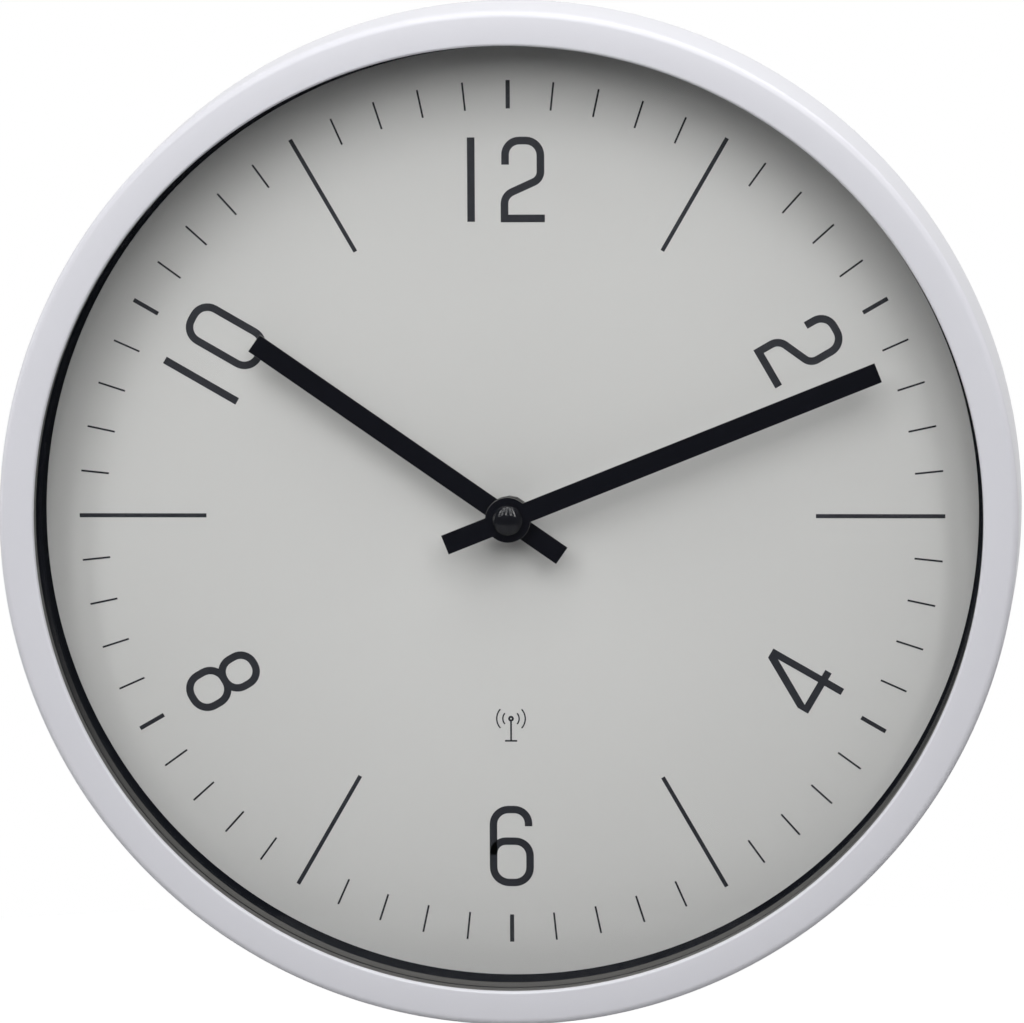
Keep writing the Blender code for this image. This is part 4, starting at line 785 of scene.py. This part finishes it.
def hand_shape(reach, tail):
    """The outline of a hand that points up: a bar with a disc where it crosses the arbor."""
    half, steps = hand_half, 28
    meet = math.asin(half / hand_disc)
    right = [(hand_disc * math.sin(a), hand_disc * math.cos(a))
             for a in [meet + (math.pi - 2 * meet) * k / steps for k in range(steps + 1)]]
    left = [(-x, z) for x, z in reversed(right)]
    return [(-half, reach), (half, reach)] + right + [(half, -tail), (-half, -tail)] + left


def beveled_plate(mesh, outline, rear, front, edge, angle):
    """A sheet with a small bevel round its front and rear edge, turned clockwise by angle."""
    count = len(outline)
    loops = []
    turn = Matrix.Rotation(-angle, 2)
    for depth, inset in ((rear, edge), (rear + edge, 0.0), (front - edge, 0.0), (front, edge)):
        row = []
        for i, spot in enumerate(outline):
            here = Vector(spot)
            into = (here - Vector(outline[i - 1])).normalized()
            away = (Vector(outline[(i + 1) % count]) - here).normalized()
            inward = (Vector((into.y, -into.x)) + Vector((away.y, -away.x)))
            if inward.length > 1e-6:
                inward.normalize()
                inward /= max(0.5, inward.dot(Vector((into.y, -into.x))))
            point = here + inward * inset
            point.rotate(turn)
            row.append(mesh.verts.new((point.x, wall - depth, point.y)))
        loops.append(row)
    for a, b in zip(loops, loops[1:]):
        for i in range(count):
            j = (i + 1) % count
            mesh.faces.new((a[i], a[j], b[j], b[i]))
    mesh.faces.new(loops[0])
    mesh.faces.new(loops[-1])


for body, (node, degrees, reach, tail, rear, collar, collar_rear) in hands.items():
    mesh = bmesh.new()
    beveled_plate(mesh, hand_shape(reach, tail), rear, rear + hand_sheet, 0.00006, math.radians(degrees))
    bar = shaped(node + "_bar", mesh, 25)
    dress(bar, body, "hand_black", hand_black, node)
    bore = 0.0026 if body == "hour" else 0.0016
    mesh = bmesh.new()
    disc_stack(mesh, [
        (bore, collar_rear), (collar - 0.0002, collar_rear), (collar, collar_rear + 0.0002),
        (collar, rear - 0.00002), (bore, rear - 0.00002), (bore, collar_rear)], (0, 0), steps=48, close=False)
    ferrule = shaped(node + "_collar", mesh)
    dress(ferrule, body, "hand_black", hand_black)

# The cap is a small gloss black dome with a short skirt, pushed over the tip of the minute arbor.
cap_lo, cap_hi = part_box("hand_cap")
cap_black = skin_finish(
    "cap_black", moulded_skin,
    {"Colour": (0.0075, 0.0080, 0.0110, 1), "Grain Scale": 700.0, "Relief": 0.005, "Roughness": 0.07,
     "Gloss Change": 0.03, "Tone Change": 0.05},
    Specular_IOR_Level=0.35)
cap_rear, cap_front = wall - cap_hi.y, wall - cap_lo.y
cap_radius = cap_hi.x
cap_skirt = 0.0007
dome = cap_front - cap_rear - cap_skirt
rings = [(0.0016, cap_rear + 0.0007), (0.0016, cap_rear), (cap_radius - 0.0001, cap_rear),
         (cap_radius, cap_rear + 0.0001), (cap_radius, cap_rear + cap_skirt)]
for k in range(1, 20):
    lean = math.pi / 2 * k / 20
    rings.append((cap_radius * math.cos(lean), cap_rear + cap_skirt + dome * math.sin(lean)))
rings.append((0, cap_front))
mesh = bmesh.new()
disc_stack(mesh, rings, (0, 0), steps=64)
cap = shaped("cap_dome", mesh, 40)
dress(cap, "minute", "cap_black", cap_black, "hand_cap")

# ---------------------------------------------------------------------------------------------
# Movement case. Two trays moulded in black, closed by two screws, with the battery bay along the
# bottom. The rear tray's face is textured; the joint line runs round the middle of the sides.
movement_black = skin_finish(
    "movement_black", moulded_skin,
    {"Colour": (0.016, 0.016, 0.018, 1), "Grain Scale": 1900.0, "Relief": 0.25, "Roughness": 0.42,
     "Gloss Change": 0.12, "Tone Change": 0.1},
    Specular_IOR_Level=0.45)
recoat(movement_black, "movement_front_case", "movement_rear_case")

# ---------------------------------------------------------------------------------------------
# Washer and nut. Turned steel with a black oxide skin. They clamp the movement's bush to the dial,
# and the hands hide them from most sides.
bush_oxide = skin_finish(
    "bush_oxide", metal_skin, {"Colour": (0.035, 0.035, 0.038, 1), "Scale": 1400.0, "Roughness": 0.34,
                               "Gloss Change": 0.2, "Relief": 0.12}, Metallic=1.0)
recoat(bush_oxide, "bush_washer", "bush_nut")

# ---------------------------------------------------------------------------------------------
# Gear train. Acetal wheels with moulded pinions, slightly translucent white, on steel pivots.
wheel_white = skin_finish(
    "wheel_white", moulded_skin,
    {"Colour": (0.78, 0.77, 0.72, 1), "Grain Scale": 2600.0, "Relief": 0.05, "Roughness": 0.38,
     "Gloss Change": 0.1, "Tone Change": 0.04},
    Specular_IOR_Level=0.5)
recoat(wheel_white, "centre_wheel", "hour_wheel", "minute_wheel", "intermediate_wheel", "rotor")

# ---------------------------------------------------------------------------------------------
# Motor. A stack of soft iron laminations with a coil of enamelled copper wire on one leg.
stator_iron = skin_finish(
    "stator_iron", metal_skin, {"Colour": (0.42, 0.42, 0.43, 1), "Scale": 1200.0, "Roughness": 0.35,
                                "Gloss Change": 0.2, "Relief": 0.2}, Metallic=1.0)
recoat(stator_iron, "stator")


def winding_finish(name, axis):
    """Enamelled copper wire, wound in fine turns round one axis."""
    finish, tree, shader = fresh(name, Metallic=0.8, Roughness=0.34)
    feeds = {"Vector": place_on(tree), "Scale": 1100.0, "Distortion": 0.6}
    turns = add(tree, "ShaderNodeTexWave", feeds, wave_type="BANDS", bands_direction=axis).outputs["Fac"]
    feed(tree, shader, {
        "Base Color": ramp(tree, turns, (0.0, (0.22, 0.055, 0.018, 1)), (1.0, (0.62, 0.22, 0.085, 1))),
        "Normal": relief(tree, turns, 0.6, 0.00005)})
    return finish


for node, axis in (("coil", "Z"), ("aerial_winding", "X")):
    recoat(winding_finish(node + "_copper", axis), node)

# ---------------------------------------------------------------------------------------------
# Circuit board. Phenolic board under green solder resist, with the radio chip, a tuning-fork
# crystal in a drawn can, and three dome switches behind the buttons.
board_green, tree, shader = fresh("board_green", Roughness=0.3)
flat = add(tree, "ShaderNodeMapping", {"Vector": place_on(tree), "Rotation": (math.pi / 2, 0, 0)})
tracks = add(tree, "ShaderNodeTexBrick", {
    "Vector": flat.outputs["Vector"], "Scale": 420.0, "Color1": (0.010, 0.085, 0.030, 1),
    "Color2": (0.014, 0.105, 0.038, 1), "Mortar": (0.030, 0.170, 0.062, 1), "Mortar Size": 0.035}).outputs
feed(tree, shader, {"Base Color": tracks["Color"], "Normal": relief(tree, tracks["Fac"], 0.5, 0.00004)})
recoat(board_green, "circuit_board")
chip_black = skin_finish(
    "chip_black", moulded_skin,
    {"Colour": (0.014, 0.014, 0.015, 1), "Grain Scale": 3600.0, "Relief": 0.3, "Roughness": 0.5,
     "Gloss Change": 0.1, "Tone Change": 0.1}, Specular_IOR_Level=0.4)
recoat(chip_black, "controller_chip")
crystal_can = skin_finish(
    "crystal_can", metal_skin, {"Colour": (0.66, 0.66, 0.68, 1), "Scale": 1500.0, "Roughness": 0.14,
                                "Gloss Change": 0.15, "Relief": 0.05}, Metallic=1.0)
recoat(crystal_can, "quartz_crystal")

# ---------------------------------------------------------------------------------------------
# Aerial. A sintered ferrite rod, dark grey and slightly granular, that carries the winding.
ferrite = skin_finish(
    "ferrite", moulded_skin,
    {"Colour": (0.050, 0.050, 0.053, 1), "Grain Scale": 1300.0, "Relief": 0.5, "Roughness": 0.6,
     "Gloss Change": 0.2, "Tone Change": 0.2}, Specular_IOR_Level=0.5)
recoat(ferrite, "aerial_rod")

# ---------------------------------------------------------------------------------------------
# Battery. One AA cell: a steel can in a printed shrink sleeve, plain green with a light band at
# the positive end, whose rolled edge and nub stay bare. It lies across the bottom of the movement.
battery_lo, battery_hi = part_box("battery")
cell_middle = ((battery_lo.y + battery_hi.y) / 2, (battery_lo.z + battery_hi.z) / 2)
cell_radius = (battery_hi.z - battery_lo.z) / 2
nub_length = 0.0010
body_left, body_right = battery_lo.x, battery_hi.x - nub_length

sleeve, tree, shader = fresh("battery_sleeve")
sleeve_green, sleeve_band = (0.018, 0.115, 0.045, 1), (0.62, 0.60, 0.50, 1)
place = place_on(tree)
along = mapped(tree, part_of(tree, place, "X"), body_left, body_right)
colours = ramp(tree, along, (0.0, sleeve_green), (0.74, sleeve_band), (0.775, sleeve_green),
               interpolation="CONSTANT")
feed(tree, shader, {"Base Color": colours,
                    "Roughness": mapped(tree, noise(tree, place, 420.0), 0.0, 1.0, (0.18, 0.36))})
mesh = bmesh.new()
disc_stack(mesh, [(cell_radius - 0.0012, body_left + 0.0002), (cell_radius - 0.0004, body_left + 0.0001),
                  (cell_radius, body_left + 0.0006), (cell_radius, body_right - 0.0006),
                  (cell_radius - 0.0004, body_right - 0.0001), (cell_radius - 0.0012, body_right - 0.0002)],
           cell_middle, axis="X", steps=64)
cell = shaped("battery_cell", mesh)
dress(cell, "battery", "battery_sleeve", sleeve, "battery")
cell_can = skin_finish(
    "cell_can", metal_skin, {"Colour": (0.64, 0.64, 0.63, 1), "Scale": 800.0, "Roughness": 0.2,
                             "Gloss Change": 0.2, "Relief": 0.08}, Metallic=1.0)
mesh = bmesh.new()
disc_stack(mesh, [(0.0030, body_right - 0.0004), (0.0030, body_right - 0.00005), (0.0027, body_right),
                  (0.0027, body_right + nub_length - 0.0003), (0.0024, body_right + nub_length),
                  (0, body_right + nub_length)], cell_middle, axis="X", steps=40)
nub = shaped("battery_nub", mesh)
dress(nub, "battery", "battery_sleeve", cell_can)
mesh = bmesh.new()
disc_stack(mesh, [(0.0048, body_left + 0.0004), (0.0048, body_left + 0.0001), (0.0044, body_left),
                  (0, body_left)], cell_middle, axis="X", steps=40)
base_plate = shaped("battery_base", mesh)
dress(base_plate, "battery", "battery_sleeve", cell_can)

# ---------------------------------------------------------------------------------------------
# Contacts. Nickel-plated spring steel strip, bent and pressed into slots at the ends of the bay.
contact_nickel = skin_finish(
    "contact_nickel", metal_skin, {"Colour": (0.60, 0.58, 0.54, 1), "Scale": 700.0, "Roughness": 0.18,
                                   "Gloss Change": 0.2, "Relief": 0.08}, Metallic=1.0)
recoat(contact_nickel, "contact_minus", "contact_plus")

# ---------------------------------------------------------------------------------------------
# Buttons. Three grey moulded push buttons, round and slightly crowned, that reach the switches.
button_grey = skin_finish(
    "button_grey", moulded_skin,
    {"Colour": (0.30, 0.30, 0.31, 1), "Grain Scale": 2400.0, "Relief": 0.1, "Roughness": 0.45,
     "Gloss Change": 0.1, "Tone Change": 0.05}, Specular_IOR_Level=0.45)
recoat(button_grey, "set_button", "receive_button", "reset_button")

# ---------------------------------------------------------------------------------------------
# Studio. The clock stands upright over a plain pale floor, in front of a white surround. Soft light
# comes from a wide panel overhead, five tall panels in front, and one low panel at each side.
floor_height = -0.3000
bpy.ops.mesh.primitive_circle_add(vertices=96, radius=0.9, fill_type="NGON", location=(0, 0, floor_height))
floor = bpy.context.object
floor.name = "studio_floor"
floor_paper, tree, paper = fresh("floor_paper", Base_Color=(0.38, 0.38, 0.38, 1), Roughness=0.9)
path = add(tree, "ShaderNodeLightPath").outputs
mirrored = maths(tree, "MAXIMUM", path["Is Glossy Ray"], path["Is Transmission Ray"])
lifted = maths(tree, "MAXIMUM", path["Is Camera Ray"], maths(tree, "MULTIPLY", mirrored, 0.05))
bright = add(tree, "ShaderNodeEmission", {"Strength": maths(tree, "MULTIPLY", lifted, 0.84)})
both = add(tree, "ShaderNodeAddShader", {0: paper.outputs["BSDF"], 1: bright.outputs[0]})
feed(tree, tree.nodes["Material Output"], {"Surface": both.outputs[0]})
floor.data.materials.append(floor_paper)

world = bpy.data.worlds.new("studio_air")
bpy.context.scene.world = world
world.use_nodes = True
tree = world.node_tree
tree.nodes.clear()
path = add(tree, "ShaderNodeLightPath").outputs
behind = mapped(tree, part_of(tree, place_on(tree, "Generated"), "Y"), -0.35, 0.25, (0.03, 1.0),
                interpolation_type="SMOOTHSTEP")
mirrored = maths(tree, "MAXIMUM", path["Is Glossy Ray"], path["Is Transmission Ray"])
seen = maths(tree, "MAXIMUM", path["Is Camera Ray"], maths(tree, "MULTIPLY", mirrored, behind))
soft = add(tree, "ShaderNodeBackground", {"Color": (0.050, 0.050, 0.052, 1), "Strength": 1.0})
white = add(tree, "ShaderNodeBackground", {"Color": (1, 1, 1, 1)})
mix = add(tree, "ShaderNodeMixShader", {"Fac": seen, 1: soft.outputs[0], 2: white.outputs[0]})
add(tree, "ShaderNodeOutputWorld", {"Surface": mix.outputs[0]})


def panel(name, place, aim, width, height, power):
    lamp = bpy.data.lights.new(name, "AREA")
    lamp.shape = "RECTANGLE"
    lamp.size, lamp.size_y = width, height
    lamp.energy = power
    made = bpy.data.objects.new(name, lamp)
    bpy.context.scene.collection.objects.link(made)
    made.location = place
    made.rotation_euler = (Vector(aim) - Vector(place)).to_track_quat("-Z", "Y").to_euler()


for k, (across, power) in enumerate(((-0.74, 2.8), (-0.42, 2.4), (-0.11, 2.1), (0.20, 2.4), (0.52, 3.1))):
    panel(f"front_panel_{k + 1}", (across, -1.00, 0.67), (across * 0.35, 0, -0.02), 0.17, 0.92, power)
panel("top_panel", (0.22, -0.24, 1.00), (0.02, 0, 0.0), 1.5, 0.5, 8.4)
panel("left_panel", (-1.00, -0.02, 0.12), (0, 0, 0), 0.5, 0.6, 2.2)
panel("right_panel", (1.00, 0.02, 0.12), (0, 0, 0), 0.5, 0.6, 1.2)

# ---------------------------------------------------------------------------------------------
# Camera. A long lens, a little above and to the right of the clock's axis, as in the photograph.
view = bpy.data.cameras.new("photo_camera")
view.sensor_width = 36.0
view.lens = 147.5
view.clip_start = 0.05
camera = bpy.data.objects.new("photo_camera", view)
bpy.context.scene.collection.objects.link(camera)
camera.location = (0.0716, -1.2142, 0.1377)
look = Vector((-0.0579, 0.9921, -0.1113)).normalized()
roll = Matrix.Rotation(-0.0053, 3, "Z")
camera.rotation_euler = (look.to_track_quat("-Z", "Y").to_matrix() @ roll).to_euler()
bpy.context.scene.camera = camera
bpy.context.scene.view_settings.view_transform = "Standard"
